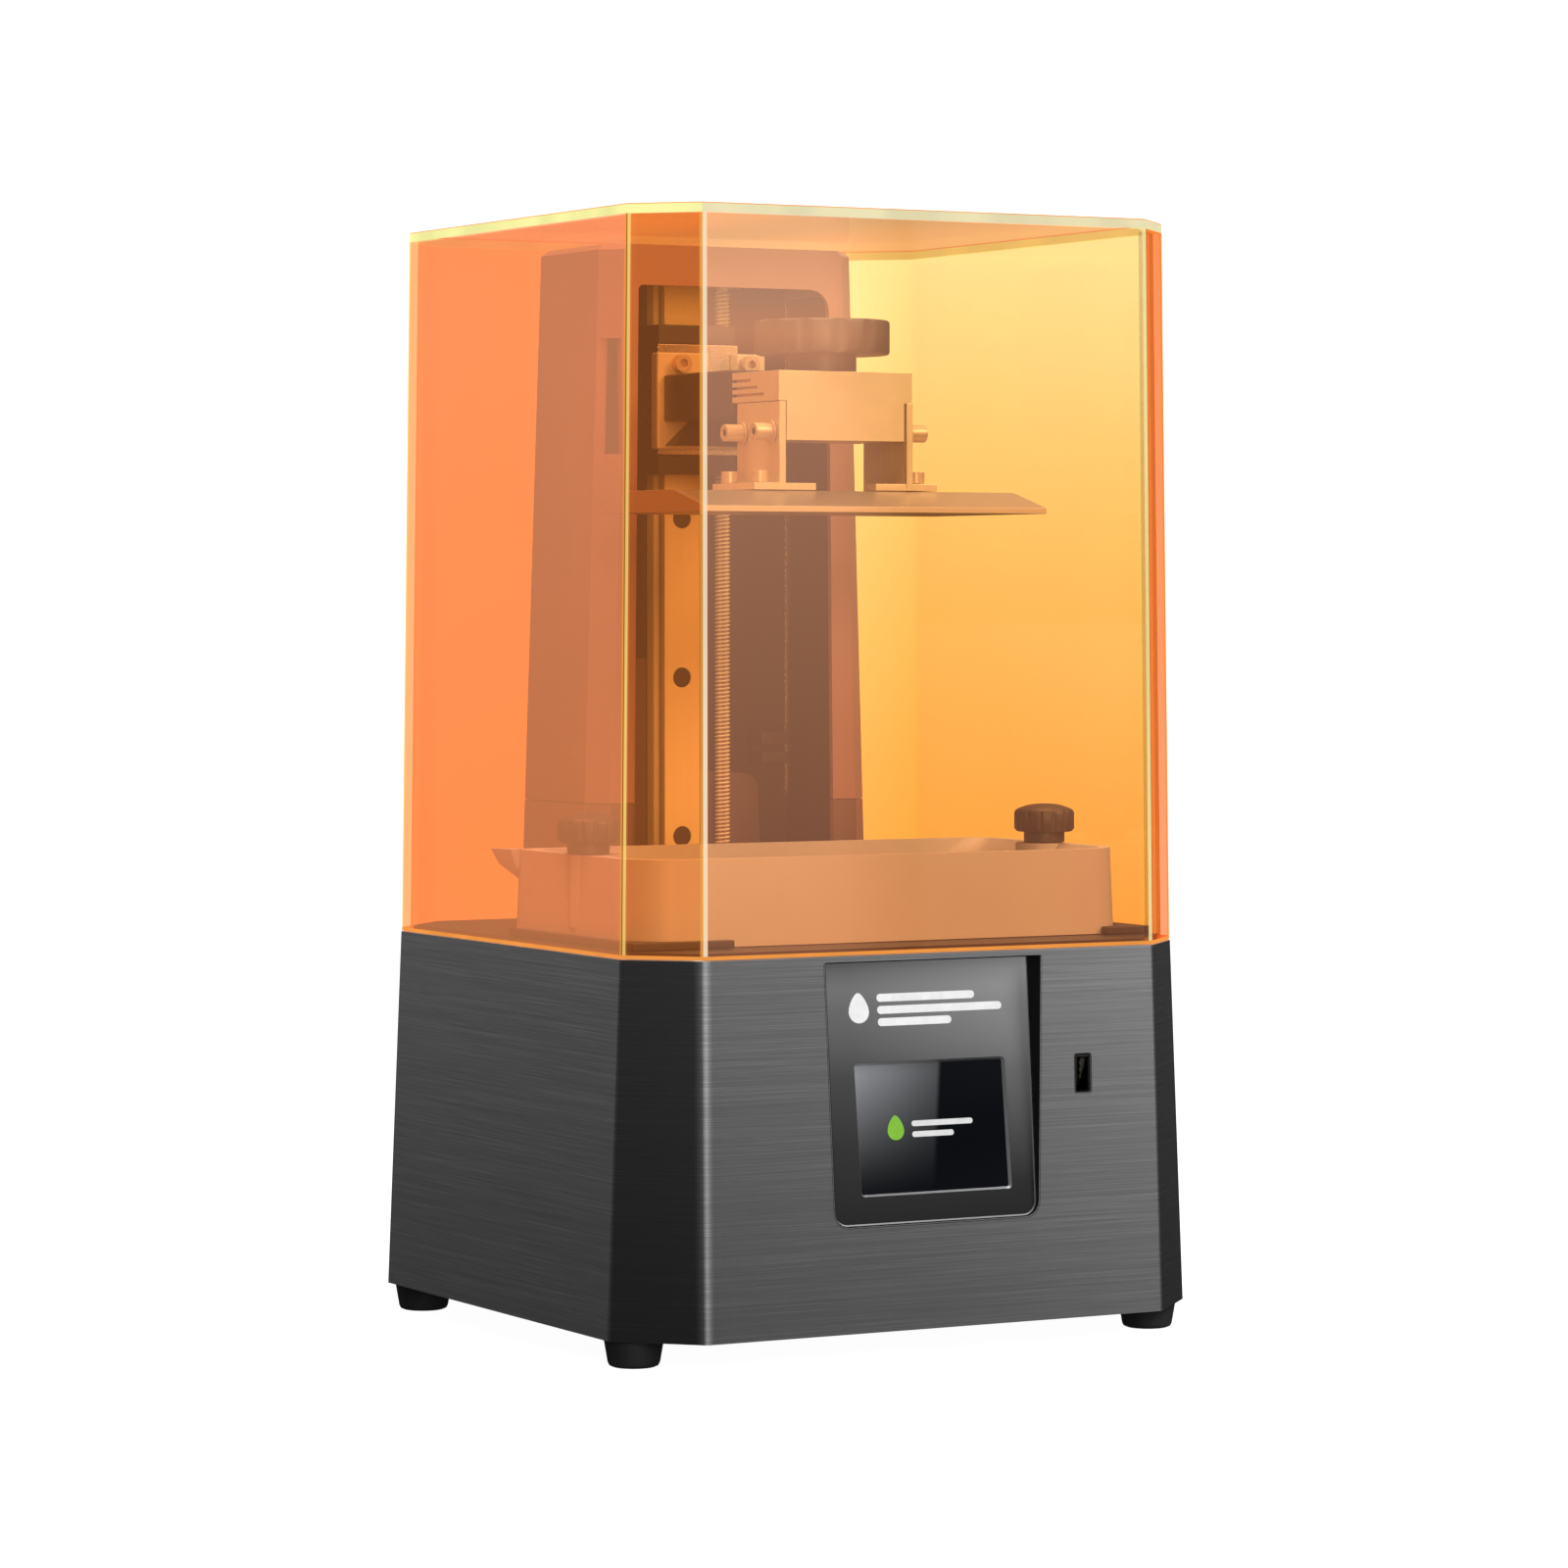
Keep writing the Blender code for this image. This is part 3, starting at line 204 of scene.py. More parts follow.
def brushed(name, color, roughness, metallic, streak, run, contrast, along, bump, fade=None, housing=False):
    """Metal with fine parallel brush marks that run along the axes given, at several lengths."""
    g = Graph(name)
    stretch = tuple(run if a else streak for a in along)
    long_marks = g.noise(1.0, 3.0, 0.65, stretch)
    short_marks = g.noise(1.0, 2.0, 0.6, tuple(s * 3.1 for s in stretch))
    marks = g.math("ADD", g.math("MULTIPLY", long_marks, 0.6), g.math("MULTIPLY", short_marks, 0.4))
    tone = g.ramp(marks, ((0.3, shade(color, 1.0 - contrast)), (0.5, color),
                          (0.58, shade(color, 1.0 + contrast)), (0.72, shade(color, 1.0 + 2.4 * contrast))))
    # painted shade: darker towards the foot where fade is given
    tone = g.painted_shade_downwards(tone, fade)
    rough = g.span(marks, 0.3, 0.7, roughness * 1.15, roughness * 0.85)
    # the housing's painted light and shade, and a painted glint at its left front edge, which is also made
    # rougher
    if housing:
        light, glint = housing_shade(g)
        tone = g.mixed(1.0, tone, light, "MULTIPLY")
        rough = g.math("ADD", rough, g.math("MULTIPLY", glint, 0.4))
    inputs = {"Base Color": tone, "Roughness": rough, "Metallic": metallic,
              "Normal": g.bump(marks, bump, 0.0003)}
    return g.end(g.node("ShaderNodeBsdfPrincipled", inputs))


# ---------------------------------------------------------------- materials

# The housing's tone carries painted shade towards its foot, and painted light, shade and a glint by face.
# brushed: name, colour, roughness, metallic, fineness across and along the marks, contrast, axes, bump
HOUSING = brushed("housing_brushed", (0.56, 0.56, 0.569), 0.34, 0.96, 3200.0, 12.0, 0.26, (1.0, 1.0, 0.0),
                  0.12, fade=((10.0, 0.8), (142.0, 1.0)), housing=True)


def panel_material():
    """Satin plate with painted light: its tone rises upwards, and most at its upper right."""
    g = Graph("panel_satin")
    # painted light: the tone rises upwards and towards the upper right
    height = g.span(g.axis("Z"), 0.048, 0.139)
    upward = g.ramp(height, ((0.0, 0.013), (0.3, 0.022), (0.56, 0.045), (0.8, 0.12), (1.0, 0.17)))
    right = g.math("MULTIPLY", g.span(g.axis("X"), -0.03, 0.044), g.span(g.axis("Z"), 0.06, 0.139))
    tone = g.mixed(1.0, upward, g.ramp(right, ((0.0, 0.0), (1.0, 0.08))), "ADD")
    fine = g.noise(2500.0, 4.0, 0.6)
    tone = g.mixed(g.span(fine, 0.25, 0.75), tone, g.mixed(1.0, tone, (1.06, 1.06, 1.07), "MULTIPLY"))
    # painted light: a glow, strongest at the top and at the upper right
    glow = g.mixed(1.0, g.ramp(height, ((0.0, 0.0), (0.5, 0.008), (0.8, 0.012), (1.0, 0.065))),
                   g.ramp(right, ((0.0, 0.0), (0.45, 0.03), (1.0, 0.075))), "ADD")
    inputs = {"Base Color": tone, "Roughness": g.span(fine, 0.2, 0.8, 0.3, 0.38), "Specular IOR Level": 0.15,
              "Normal": g.bump(fine, 0.02, 0.0004), "Emission Color": glow, "Emission Strength": 1.0}
    return g.end(g.node("ShaderNodeBsdfPrincipled", inputs))


PANEL = panel_material()
# finish: name, colour, roughness, metallic, mottle and its fineness, fineness of the grain, its bump
# Near black for the painted shade in the panel's pocket and its gap, and in the screw sockets.
POCKET_SHADE = finish("pocket_shade_black", (0.006, 0.006, 0.006), 0.7, 0.0, 0.2, 80.0, 2600.0, 0.05,
                **{"Specular IOR Level": 0.1})
BLACK = finish("black_moulded", (0.022, 0.021, 0.021), 0.5, 0.0, 0.2, 80.0, 2600.0, 0.12)
RUBBER = finish("foot_rubber", (0.017, 0.017, 0.018), 0.62, 0.0, 0.2, 90.0, 1800.0, 0.15)
DECK = finish("deck_black", (0.03, 0.03, 0.031), 0.4, 0.4, 0.12, 50.0, 2200.0, 0.05)
DARK = finish("dark_anodised", (0.035, 0.033, 0.032), 0.42, 0.6, 0.12, 50.0, 2400.0, 0.06)
# The warm tones of this aluminium, of the cap screws and of the rail stand in for the orange light inside the
# cover: painted light.
ALUMINIUM = brushed("milled_aluminium", (0.76, 0.62, 0.44), 0.36, 0.4, 900.0, 40.0, 0.05, (1.0, 0.0, 1.0),
                    0.05)
CAP = finish("cap_screw", (0.6, 0.43, 0.29), 0.34, 0.35, 0.05, 60.0, 2000.0, 0.03)
STEEL = finish("bright_steel", (0.62, 0.61, 0.6), 0.26, 1.0, 0.05, 60.0, 2000.0, 0.03)
RAIL = brushed("ground_steel", (1.0, 0.8, 0.44), 0.3, 0.0, 1600.0, 12.0, 0.05, (0.0, 1.0, 1.0), 0.04)
BRASS = finish("brass", (0.76, 0.55, 0.22), 0.3, 1.0, 0.08, 70.0, 1600.0, 0.05)
VAT = finish("vat_moulded", (0.53, 0.5, 0.475), 0.42, 0.0, 0.04, 30.0, 2400.0, 0.05)
# The column's front faces get painted light that makes them redder; the foot's front faces get painted shade.
COLUMN, COLUMN_FOOT = (
    finish(name, (0.3, 0.205, 0.18), 0.45, 0.0, 0.06, 30.0, 2600.0, 0.08, front=front)
    for name, front in (("column_painted", (1.08, 0.83, 0.77)), ("column_foot_painted", (0.42, 0.36, 0.36))))
CIRCUIT = finish("circuit_board", (0.015, 0.11, 0.045), 0.45, 0.0, 0.25, 300.0, 900.0, 0.1)
# A lit and a shaded copy of the lead screw's steel: painted light on the crests, painted shade in the grooves.
GROOVE_SHADE = finish("thread_groove_shade", (0.3, 0.16, 0.08), 0.5, 0.1, 0.05, 60.0, 2000.0, 0.03)
SCREW = finish("screw_steel", (1.0, 0.84, 0.58), 0.3, 0.1, 0.05, 60.0, 2000.0, 0.03)
KNOB = finish("knob_moulded", (0.05, 0.042, 0.04), 0.42, 0.0, 0.15, 80.0, 2200.0, 0.1)
TRIM = finish("panel_trim", (0.55, 0.55, 0.56), 0.3, 0.8, 0.05, 90.0, 1500.0, 0.02)
MASK = finish("masking_glass", (0.006, 0.007, 0.009), 0.06, 0.0, 0.1, 20.0, 400.0, 0.0)


def glass_material():
    """Dark display glass with a painted sheen: a soft slanting reflection that fades to the right and
    downwards.
    """
    g = Graph("display_glass")
    across = g.span(g.axis("X"), -0.03, 0.033)
    down = g.span(g.axis("Z"), 0.057, 0.105)
    slant = g.math("ADD", across, g.math("MULTIPLY", g.math("SUBTRACT", 1.0, down), 0.09))
    cut = g.span(slant, 0.555, 0.585, 1.0, 0.0)
    fall = g.math("POWER", g.math("MULTIPLY", down, g.span(slant, 0.0, 0.6, 1.0, 0.42)), 1.6)
    cloud = g.span(g.noise(40.0, 2.0), 0.3, 0.7, 0.94, 1.0)
    level = g.math("MULTIPLY", g.math("MULTIPLY", cut, fall), cloud)
    tone = g.mixed(level, (0.0022, 0.003, 0.0045), (0.3, 0.31, 0.325))
    return g.end(g.node("ShaderNodeBsdfPrincipled", {"Base Color": tone, "Roughness": 0.1,
                                                     "Specular IOR Level": 0.08}))


GLASS = glass_material()


def plate_material():
    """Satin plate: painted highlight on its thin front edge, painted reflection of the dark beneath the head on
    its slope.
    """
    g = Graph("plate_aluminium")
    fine = g.noise(1.0, 3.0, 0.6, (30.0, 1100.0, 30.0))
    tone = g.mixed(g.span(fine, 0.3, 0.7), (0.37, 0.3, 0.25), (0.42, 0.34, 0.285))
    forward = g.facing(1)
    # painted reflection: the front slope darkens where it would mirror the dark beneath the head
    under = g.ramp(g.span(g.axis("X"), -0.08, 0.03), ((0.0, 0.95), (0.12, 0.42), (0.6, 0.42), (1.0, 1.0)))
    slope = g.math("MULTIPLY", g.math("LESS_THAN", forward, -0.1), g.math("GREATER_THAN", forward, -0.85))
    tone = g.mixed(1.0, tone, g.mixed(slope, (1.0, 1.0, 1.0), under), "MULTIPLY")
    # painted highlight on the thin front edge
    tone = g.mixed(g.span(forward, -0.85, -0.97), tone, (0.72, 0.56, 0.4))
    return g.end(g.node("ShaderNodeBsdfPrincipled", {"Base Color": tone, "Roughness": 0.4, "Metallic": 0.3,
                                                     "Normal": g.bump(fine, 0.05, 0.0003)}))


PLATE = plate_material()


def lit(name, color):
    """A printed or lit mark, which keeps its colour in any light."""
    g = Graph(name)
    tone = g.mixed(g.span(g.noise(300.0, 2.0), 0.3, 0.7), shade(color, 0.9), color)
    return g.end(g.node("ShaderNodeEmission", {"Color": tone}))


def film_material():
    """Thin clear film, a little cloudy."""
    g = Graph("release_film", True)
    cloud = g.noise(35.0, 3.0)
    tint = g.mixed(g.span(cloud, 0.3, 0.7), (0.80, 0.84, 0.86), (0.9, 0.93, 0.95))
    clear = g.node("ShaderNodeBsdfTransparent", {"Color": tint})
    gloss = g.node("ShaderNodeBsdfGlossy", {"Roughness": 0.08})
    return g.end(g.node("ShaderNodeMixShader", {0: 0.12, 1: clear, 2: gloss}))


FILM = film_material()

# ---------------------------------------------------------------- shape helpers


def added(name, shape, looks):
    """Turns a bmesh into an object of the scene."""
    mesh = bpy.data.meshes.new(name)
    shape.to_mesh(mesh)
    shape.free()
    for look in looks:
        mesh.materials.append(look)
    made = bpy.data.objects.new(name, mesh)
    bpy.context.scene.collection.objects.link(made)
    return made


def make(name, shape, looks, body, replaces=None, angle=32.0):
    """Turns a bmesh in millimetres into a piece that rides on a body; edges sharper than angle stay sharp."""
    shape.transform(Matrix.Scale(MM, 4))
    bmesh.ops.remove_doubles(shape, verts=shape.verts, dist=1e-7)
    bmesh.ops.recalc_face_normals(shape, faces=shape.faces)
    made = added(name, shape, looks)
    made.data.polygons.foreach_set("use_smooth", [True] * len(made.data.polygons))
    made.data.set_sharp_from_angle(angle=math.radians(angle))
    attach(made, body)
    if replaces:
        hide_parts(replaces)
    return made


def bevelled(obj, width, segments):
    """Rounds an object's sharp edges, and keeps its flat faces looking flat."""
    edge = obj.modifiers.new("edge", "BEVEL")
    edge.width = width * MM
    edge.segments = segments
    edge.limit_method = "ANGLE"
    edge.angle_limit = math.radians(28.0)
    edge.harden_normals = False
    even = obj.modifiers.new("even", "WEIGHTED_NORMAL")
    even.keep_sharp = False


def dress(look, *nodes, edge=0.0, segments=2):
    """Gives CAD nodes a finish, and breaks their sharp edges."""
    for name in nodes:
        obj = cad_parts[name]
        for socket in obj.material_slots:
            socket.material = look
        normals = obj.data.attributes.get("custom_normal")
        if normals:
            obj.data.attributes.remove(normals)
        obj.data.polygons.foreach_set("use_smooth", [True] * len(obj.data.polygons))
        weld = obj.modifiers.new("weld", "WELD")
        weld.merge_threshold = 1e-6
        flat = obj.modifiers.new("flat", "DECIMATE")
        flat.decimate_type = "DISSOLVE"
        flat.angle_limit = math.radians(0.5)
        if edge:
            bevelled(obj, edge, segments)
        else:
            even = obj.modifiers.new("even", "WEIGHTED_NORMAL")
            even.keep_sharp = True


def rounded(corners, radii, steps=6):
    """The outline of a polygon with each corner rounded to its radius."""
    outline = []
    count = len(corners)
    for i, radius in enumerate(radii):
        corner = Vector(corners[i])
        back = (Vector(corners[i - 1]) - corner).normalized()
        ahead = (Vector(corners[(i + 1) % count]) - corner).normalized()
        half = back.angle(ahead) / 2
        centre = corner + (back + ahead).normalized() * radius / math.sin(half)
        first = corner + back * radius / math.tan(half) - centre
        turn = (corner + ahead * radius / math.tan(half) - centre).angle_signed(first)
        for step in range(steps + 1):
            outline.append(centre + Matrix.Rotation(turn * step / steps, 2) @ first)
    return [tuple(point) for point in outline]


def rectangle(half_x, half_y, middle, radius, steps):
    """The outline of a rectangle with round corners."""
    corners = [(middle[0] + sx * half_x, middle[1] + sy * half_y)
               for sx, sy in ((-1, -1), (1, -1), (1, 1), (-1, 1))]
    return rounded(corners, [radius] * 4, steps)


def trapezoid(low_half, high_half, low, high, radii):
    """The outline of a plate that widens upwards, with its radii at the bottom and at the top."""
    corners = [(-low_half, low), (low_half, low), (high_half, high), (-high_half, high)]
    return rounded(corners, [radii[0]] * 2 + [radii[1]] * 2)


def circle(radius, middle, steps):
    return [(middle[0] + radius * math.cos(2 * math.pi * i / steps),
             middle[1] + radius * math.sin(2 * math.pi * i / steps)) for i in range(steps)]


def rings(shape, loops, closed=False, caps=True):
    """Joins loops of equally many 3-D points into a skin, and gives its faces."""
    made = [[shape.verts.new(p) for p in loop] for loop in loops]
    pairs = list(zip(made, made[1:])) + ([(made[-1], made[0])] if closed else [])
    faces = []
    for lower, upper in pairs:
        for i in range(len(lower)):
            faces.append(shape.faces.new((lower[i - 1], lower[i], upper[i], upper[i - 1])))
    if caps and not closed:
        faces.append(shape.faces.new(made[0]))
        faces.append(shape.faces.new(made[-1]))
    return faces


def at_height(outline, z):
    return [(x, y, z) for x, y in outline]


def bar(shape, low, high):
    """A plain box in a bmesh."""
    (x0, y0, z0), (x1, y1, z1) = low, high
    rings(shape, [[(x0, y0, z), (x1, y0, z), (x1, y1, z), (x0, y1, z)] for z in (z0, z1)])


def turned(shape, profile, place, axis, steps):
    """A turned solid: profile lists (radius, distance along the axis) from one end to the other."""
    frames = {"Z": ((1, 0, 0), (0, 1, 0), (0, 0, 1)), "X": ((0, 1, 0), (0, 0, 1), (1, 0, 0)),
              "Y": ((0, 0, 1), (1, 0, 0), (0, 1, 0))}
    u, v, w = (Vector(a) for a in frames[axis])
    origin = Vector(place)
    rings(shape, [[origin + (u * math.cos(2 * math.pi * i / steps) + v * math.sin(2 * math.pi * i / steps))
                   * radius + w * along for i in range(steps)] for radius, along in profile])


# ---------------------------------------------------------------- carried-over CAD nodes

dress(HOUSING, "base_shell", edge=0.35)
dress(PANEL, "control_panel", edge=0.35)
dress(DECK, "deck_plate", "bottom_plate", edge=0.3)
dress(RUBBER, "foot_front_left", "foot_front_right", "foot_rear_left", "foot_rear_right", edge=0.5,
      segments=3)
dress(BLACK, "vat_guide_left", "vat_guide_right", "power_inlet", "power_switch_bezel", "power_switch_rocker",
      "fan_frame", "fan_rotor", "carriage_cap_top", "carriage_cap_bottom", "z_limit_sensor", edge=0.3)
dress(DARK, "rail_backplate", "z_arm", "z_motor", edge=0.4)
dress(ALUMINIUM, "head_block", "arm_mount_plate", "bracket_left", "bracket_right", "nut_bracket",
      "bearing_block", "heat_sink", "light_cone", "film_frame", edge=0.35)
dress(PLATE, "build_plate", edge=0.4)
dress(DARK, "usb_socket", edge=0.2)
dress(STEEL, "rail_carriage", "screw_bearing", edge=0.2)
dress(CAP, "mount_screw_left", "mount_screw_right",
      *[f"{kind}_screw_{side}_{end}" for kind in ("side", "flange") for side in ("left", "right")
        for end in ("front", "rear")], edge=0.2)
dress(RAIL, "linear_rail", edge=0.3)
dress(BRASS, "lead_nut", edge=0.3)
dress(COLUMN, "column_cover", edge=0.5, segments=3)
dress(COLUMN_FOOT, "column_base", edge=0.5, segments=3)
dress(CIRCUIT, "display_module", "led_board", "main_board")
dress(GLASS, "screen_glass")
dress(MASK, "masking_lcd")
dress(VAT, "resin_vat", edge=0.5, segments=3)
dress(FILM, "release_film")

# ---------------------------------------------------------------- cover

COVER_Z = (142.6, 404.0)
COVER_HALF_X = (112.8, 109.6)
COVER_HALF_Y = (111.8, 108.6)
COVER_CORNER = (21.2, 19.5)
COVER_WALL = 3.0
COVER_TOP = 3.5
FOOT_BAND = 1.3  # height of the band along the cover's foot that carries a painted glow
SLAB_BREAK = 0.35  # broken edge of the top slab
SEAM_ENDS = (0.3, 1.4)  # where the strips beside a corner begin and end
SIDES = ("front", "front_right", "right", "rear_right", "rear", "rear_left", "left", "front_left")


def cover_corners(z, inset=0.0):
    """The cover's eight corners at a height, from the front wall's left end anticlockwise seen from above."""
    share = (z - COVER_Z[0]) / (COVER_Z[1] - COVER_Z[0])
    x, y, leg = (pair[0] + (pair[1] - pair[0]) * share for pair in (COVER_HALF_X, COVER_HALF_Y, COVER_CORNER))
    x, y, leg = x - inset, y - inset, leg - inset * (2 - math.sqrt(2))
    return [Vector((cx, cy, z)) for cx, cy in
            ((-x + leg, -y), (x - leg, -y), (x, -y + leg), (x, y - leg), (x - leg, y), (-x + leg, y),
             (-x, y - leg), (-x, -y + leg))]


def pane(name, low, high, glow, gloss=1.0, painted_haze=False, smoky=None, left=None):
    """Tinted clear sheet: low and high colour what shows through its foot and top, and glow is a painted glow.

    The orange is the sheet's own; its change from foot to top and from side to side is painted light.
    The haze flag adds a soft painted reflection beside the front's left edge, smoky multiplies the tint from
    left to right, and left holds the two tints that take over towards the object's left.
    """
    g = Graph(name, True)
    height = g.span(g.axis("Z"), COVER_Z[0] * MM, COVER_Z[1] * MM)
    smoke = g.noise(9.0, 2.0)
    height = g.math("ADD", height, g.span(smoke, 0.3, 0.7, -0.03, 0.03))

    def upward(foot, top):
        between = tuple((p * q) ** 0.5 for p, q in zip(foot, top))
        return g.ramp(height, ((0.0, foot), (0.45, between), (1.0, top)))

    tint = upward(low, high)
    mirror = g.sheen(gloss)
    if left:
        tint = g.mixed(g.span(g.axis("X"), -0.05, 0.06), upward(*left), tint)
        mirror = g.math("MULTIPLY", mirror, g.span(g.axis("X"), -0.05, 0.06, 0.3, 1.0))
    if smoky:
        tint = g.mixed(1.0, tint, g.ramp(g.span(g.axis("X"), -0.06, 0.06), smoky), "MULTIPLY")
    clear = g.node("ShaderNodeBsdfTransparent", {"Color": tint})
    # painted light: the sheet's glow, a little patchy
    painted_glow = g.mixed(g.span(smoke, 0.3, 0.7), shade(glow, 0.94), glow)
    # painted reflection: a soft light beside the front's left edge, strongest near the top
    if painted_haze:
        beside = g.span(g.axis("X"), -0.038, -0.008, 1.0, 0.0)
        painted_veil = g.ramp(g.span(g.axis("Z"), 0.142, 0.392), (
            (0.0, (0.025, 0.012, 0.008)), (0.25, (0.045, 0.02, 0.012)), (0.6, (0.075, 0.034, 0.02)),
            (0.81, (0.095, 0.04, 0.024)), (0.87, (0.2, 0.082, 0.044)), (0.92, (0.15, 0.074, 0.045)),
            (1.0, (0.07, 0.034, 0.021))))
        painted_glow = g.mixed(1.0, painted_glow, g.mixed(beside, (0.0, 0.0, 0.0), painted_veil), "ADD")
    painted_glow = g.node("ShaderNodeEmission", {"Color": painted_glow})
    shine = g.node("ShaderNodeBsdfGlossy", {"Roughness": 0.03})
    body = g.node("ShaderNodeAddShader", {0: clear, 1: painted_glow})
    made = g.end(g.node("ShaderNodeMixShader", {0: mirror, 1: body, 2: shine}))
    made.cycles.emission_sampling = "NONE"
    return made


def glowing(name, color, clear_share, clear_color):
    """A painted glow on an edge of a tinted sheet: the light that edge gathers, and the bright and dark lines
    at corners.
    """
    g = Graph(name, True)
    patchy = g.noise(45.0, 2.0, 0.5, (1.0, 1.0, 0.15))
    tone = g.mixed(g.span(patchy, 0.35, 0.65), shade(color, 0.86), color)
    light = g.node("ShaderNodeEmission", {"Color": tone})
    clear = g.node("ShaderNodeBsdfTransparent", {"Color": (*clear_color, 1.0)})
    return g.end(g.node("ShaderNodeMixShader", {0: clear_share, 1: light, 2: clear}))


def root(color):
    """The tint of one face of a sheet whose two faces together tint by color."""
    return tuple(c ** 0.5 for c in color)


# Copies of one acrylic: each side's own tints and glow are painted light for that side.
DEEP_ORANGE = (root((0.95, 0.38, 0.12)), root((0.95, 0.35, 0.085)))
PANE_LOOKS = {
    "front": pane("acrylic_front", root((0.95, 0.47, 0.19)), root((0.97, 0.78, 0.42)), (0.05, 0.016, 0.006),
                  painted_haze=True),
    "side": pane("acrylic_side", root((0.92, 0.4, 0.22)), root((0.92, 0.36, 0.17)), (0.22, 0.085, 0.025)),
    "corner": pane("acrylic_corner", root((0.98, 0.43, 0.14)), root((0.98, 0.43, 0.12)),
                   (0.08, 0.028, 0.008)),
    "far_corner": pane("acrylic_far_corner", (0.95, 0.38, 0.35), (0.95, 0.25, 0.1), (0.1, 0.02, 0.004), 0.08),
    "rear": pane("acrylic_rear", root((0.97, 0.66, 0.17)), root((0.97, 0.9, 0.6)), (0.03, 0.012, 0.004),
                 left=DEEP_ORANGE),
    "rear_left": pane("acrylic_rear_left", *DEEP_ORANGE, (0.03, 0.01, 0.003), 0.3),
    "top": pane("acrylic_top", root((0.84, 0.48, 0.31)), root((0.84, 0.48, 0.31)), (0.05, 0.025, 0.012), 0.3,
                smoky=((0.0, 0.96), (0.35, (0.78, 0.87, 0.95)), (0.92, 1.0), (1.0, 1.0))),
}
# Painted light on the cover's edges: glows along its rims and foot, and glints, highlights and dark reflections
# at its corners.
SLAB_EDGE = glowing("slab_edge", (1.0, 0.98, 0.4), 0.05, (1.0, 0.9, 0.5))
SLAB_FRONT = glowing("slab_front", (0.86, 0.8, 0.5), 0.1, (1.0, 0.9, 0.6))
FOOT_EDGE = glowing("foot_edge", (1.0, 0.36, 0.07), 0.1, (1.0, 0.5, 0.1))
SEAM_YELLOW = glowing("seam_yellow", (1.0, 0.72, 0.2), 0.25, (1.0, 0.8, 0.3))
SEAM_ORANGE = glowing("seam_orange", (1.0, 0.4, 0.07), 0.3, (1.0, 0.7, 0.2))
SEAM_DARK = glowing("seam_dark", (0.3, 0.14, 0.03), 0.25, (0.7, 0.4, 0.1))
SEAM_BROWN = glowing("seam_brown", (0.45, 0.17, 0.04), 0.4, (0.8, 0.4, 0.1))
SEAM_CREAM = glowing("seam_cream", (1.0, 0.8, 0.55), 0.1, (1.0, 0.8, 0.6))
SEAM_PALE = glowing("seam_pale", (0.95, 0.85, 0.4), 0.25, (1.0, 0.85, 0.5))
EDGE_LOOKS = [SLAB_EDGE, SLAB_FRONT, FOOT_EDGE, SEAM_YELLOW, SEAM_ORANGE, SEAM_DARK, SEAM_BROWN, SEAM_CREAM,
              SEAM_PALE]
SIDE_LOOK = {"front": "front", "left": "side", "right": "rear", "rear": "rear", "front_left": "corner",
             "front_right": "far_corner", "rear_left": "rear_left", "rear_right": "rear"}
# number of a corner: looks of the strip before it, on it and after it, which paint its glints, highlights and
# dark reflections
SEAMS = {7: (SEAM_ORANGE, SEAM_DARK, SEAM_YELLOW), 0: (SEAM_ORANGE, SEAM_CREAM, SEAM_CREAM),
         1: (SEAM_PALE, SEAM_PALE, SEAM_BROWN), 2: (SEAM_ORANGE, SEAM_YELLOW, SEAM_YELLOW),
         6: (SEAM_YELLOW, SEAM_YELLOW, SEAM_YELLOW)}


def split(corners):
    """Each side as seam, pane, seam: 32 points round the cover."""
    near, far = SEAM_ENDS
    points = []
    for i in range(8):
        a, b = corners[i], corners[(i + 1) % 8]
        run = (b - a).normalized()
        points += [a + run * near, a + run * far, b - run * far, b - run * near]
    return points


def strips():
    """The look of the strip that ends at each point of split."""
    made = []
    for i, side in enumerate(SIDES):
        _, on, after = SEAMS.get(i, (None, None, None))
        ahead = SEAMS.get((i + 1) % 8, (None, None, None))[0]
        sheet = PANE_LOOKS[SIDE_LOOK[side]]
        made += [on or sheet, after or sheet, sheet, ahead or sheet]
    return made


def build_cover():
    """The cover's eight walls and top slab as one closed skin; its edge strips have their own painted glows."""
    shape = bmesh.new()
    looks = list(PANE_LOOKS.values()) + EDGE_LOOKS
    slab_z = COVER_Z[1] - COVER_TOP
    levels = [COVER_Z[0], COVER_Z[0] + FOOT_BAND, slab_z, COVER_Z[1] - SLAB_BREAK]
    outer = [split(cover_corners(z)) for z in levels]
    top = split(cover_corners(COVER_Z[1], SLAB_BREAK))
    inner = [split(cover_corners(z, COVER_WALL)) for z in (COVER_Z[0], slab_z)]
    loops = [[shape.verts.new(p) for p in loop] for loop in outer + [top]]
    inner_loops = [[shape.verts.new(p) for p in loop] for loop in inner]
    outside = strips()
    inside = []
    rim = []
    for side in SIDES:
        inside += [PANE_LOOKS["rear" if side == "front_right" else SIDE_LOOK[side]]] * 4
        rim += [SLAB_FRONT if side in ("front", "front_right") else SLAB_EDGE] * 4

    def skin(lower, upper, strip_looks):
        for i in range(len(lower)):
            face = shape.faces.new((lower[i - 1], lower[i], upper[i], upper[i - 1]))
            face.material_index = looks.index(strip_looks[i])

    plain = [FOOT_EDGE] * len(top)
    skin(loops[0], loops[1], plain)
    skin(loops[1], loops[2], outside)
    skin(loops[2], loops[3], rim)
    skin(loops[3], loops[4], plain)
    skin(inner_loops[0], inner_loops[1], inside)
    skin(loops[0], inner_loops[0], plain)
    for loop in (loops[4], inner_loops[1]):
        shape.faces.new(loop).material_index = looks.index(PANE_LOOKS["top"])
    cover = make("cover_panes", shape, looks, "cover", "cover_shell", angle=20.0)
    cover.visible_shadow = False


build_cover()

# ---------------------------------------------------------------- lead screw


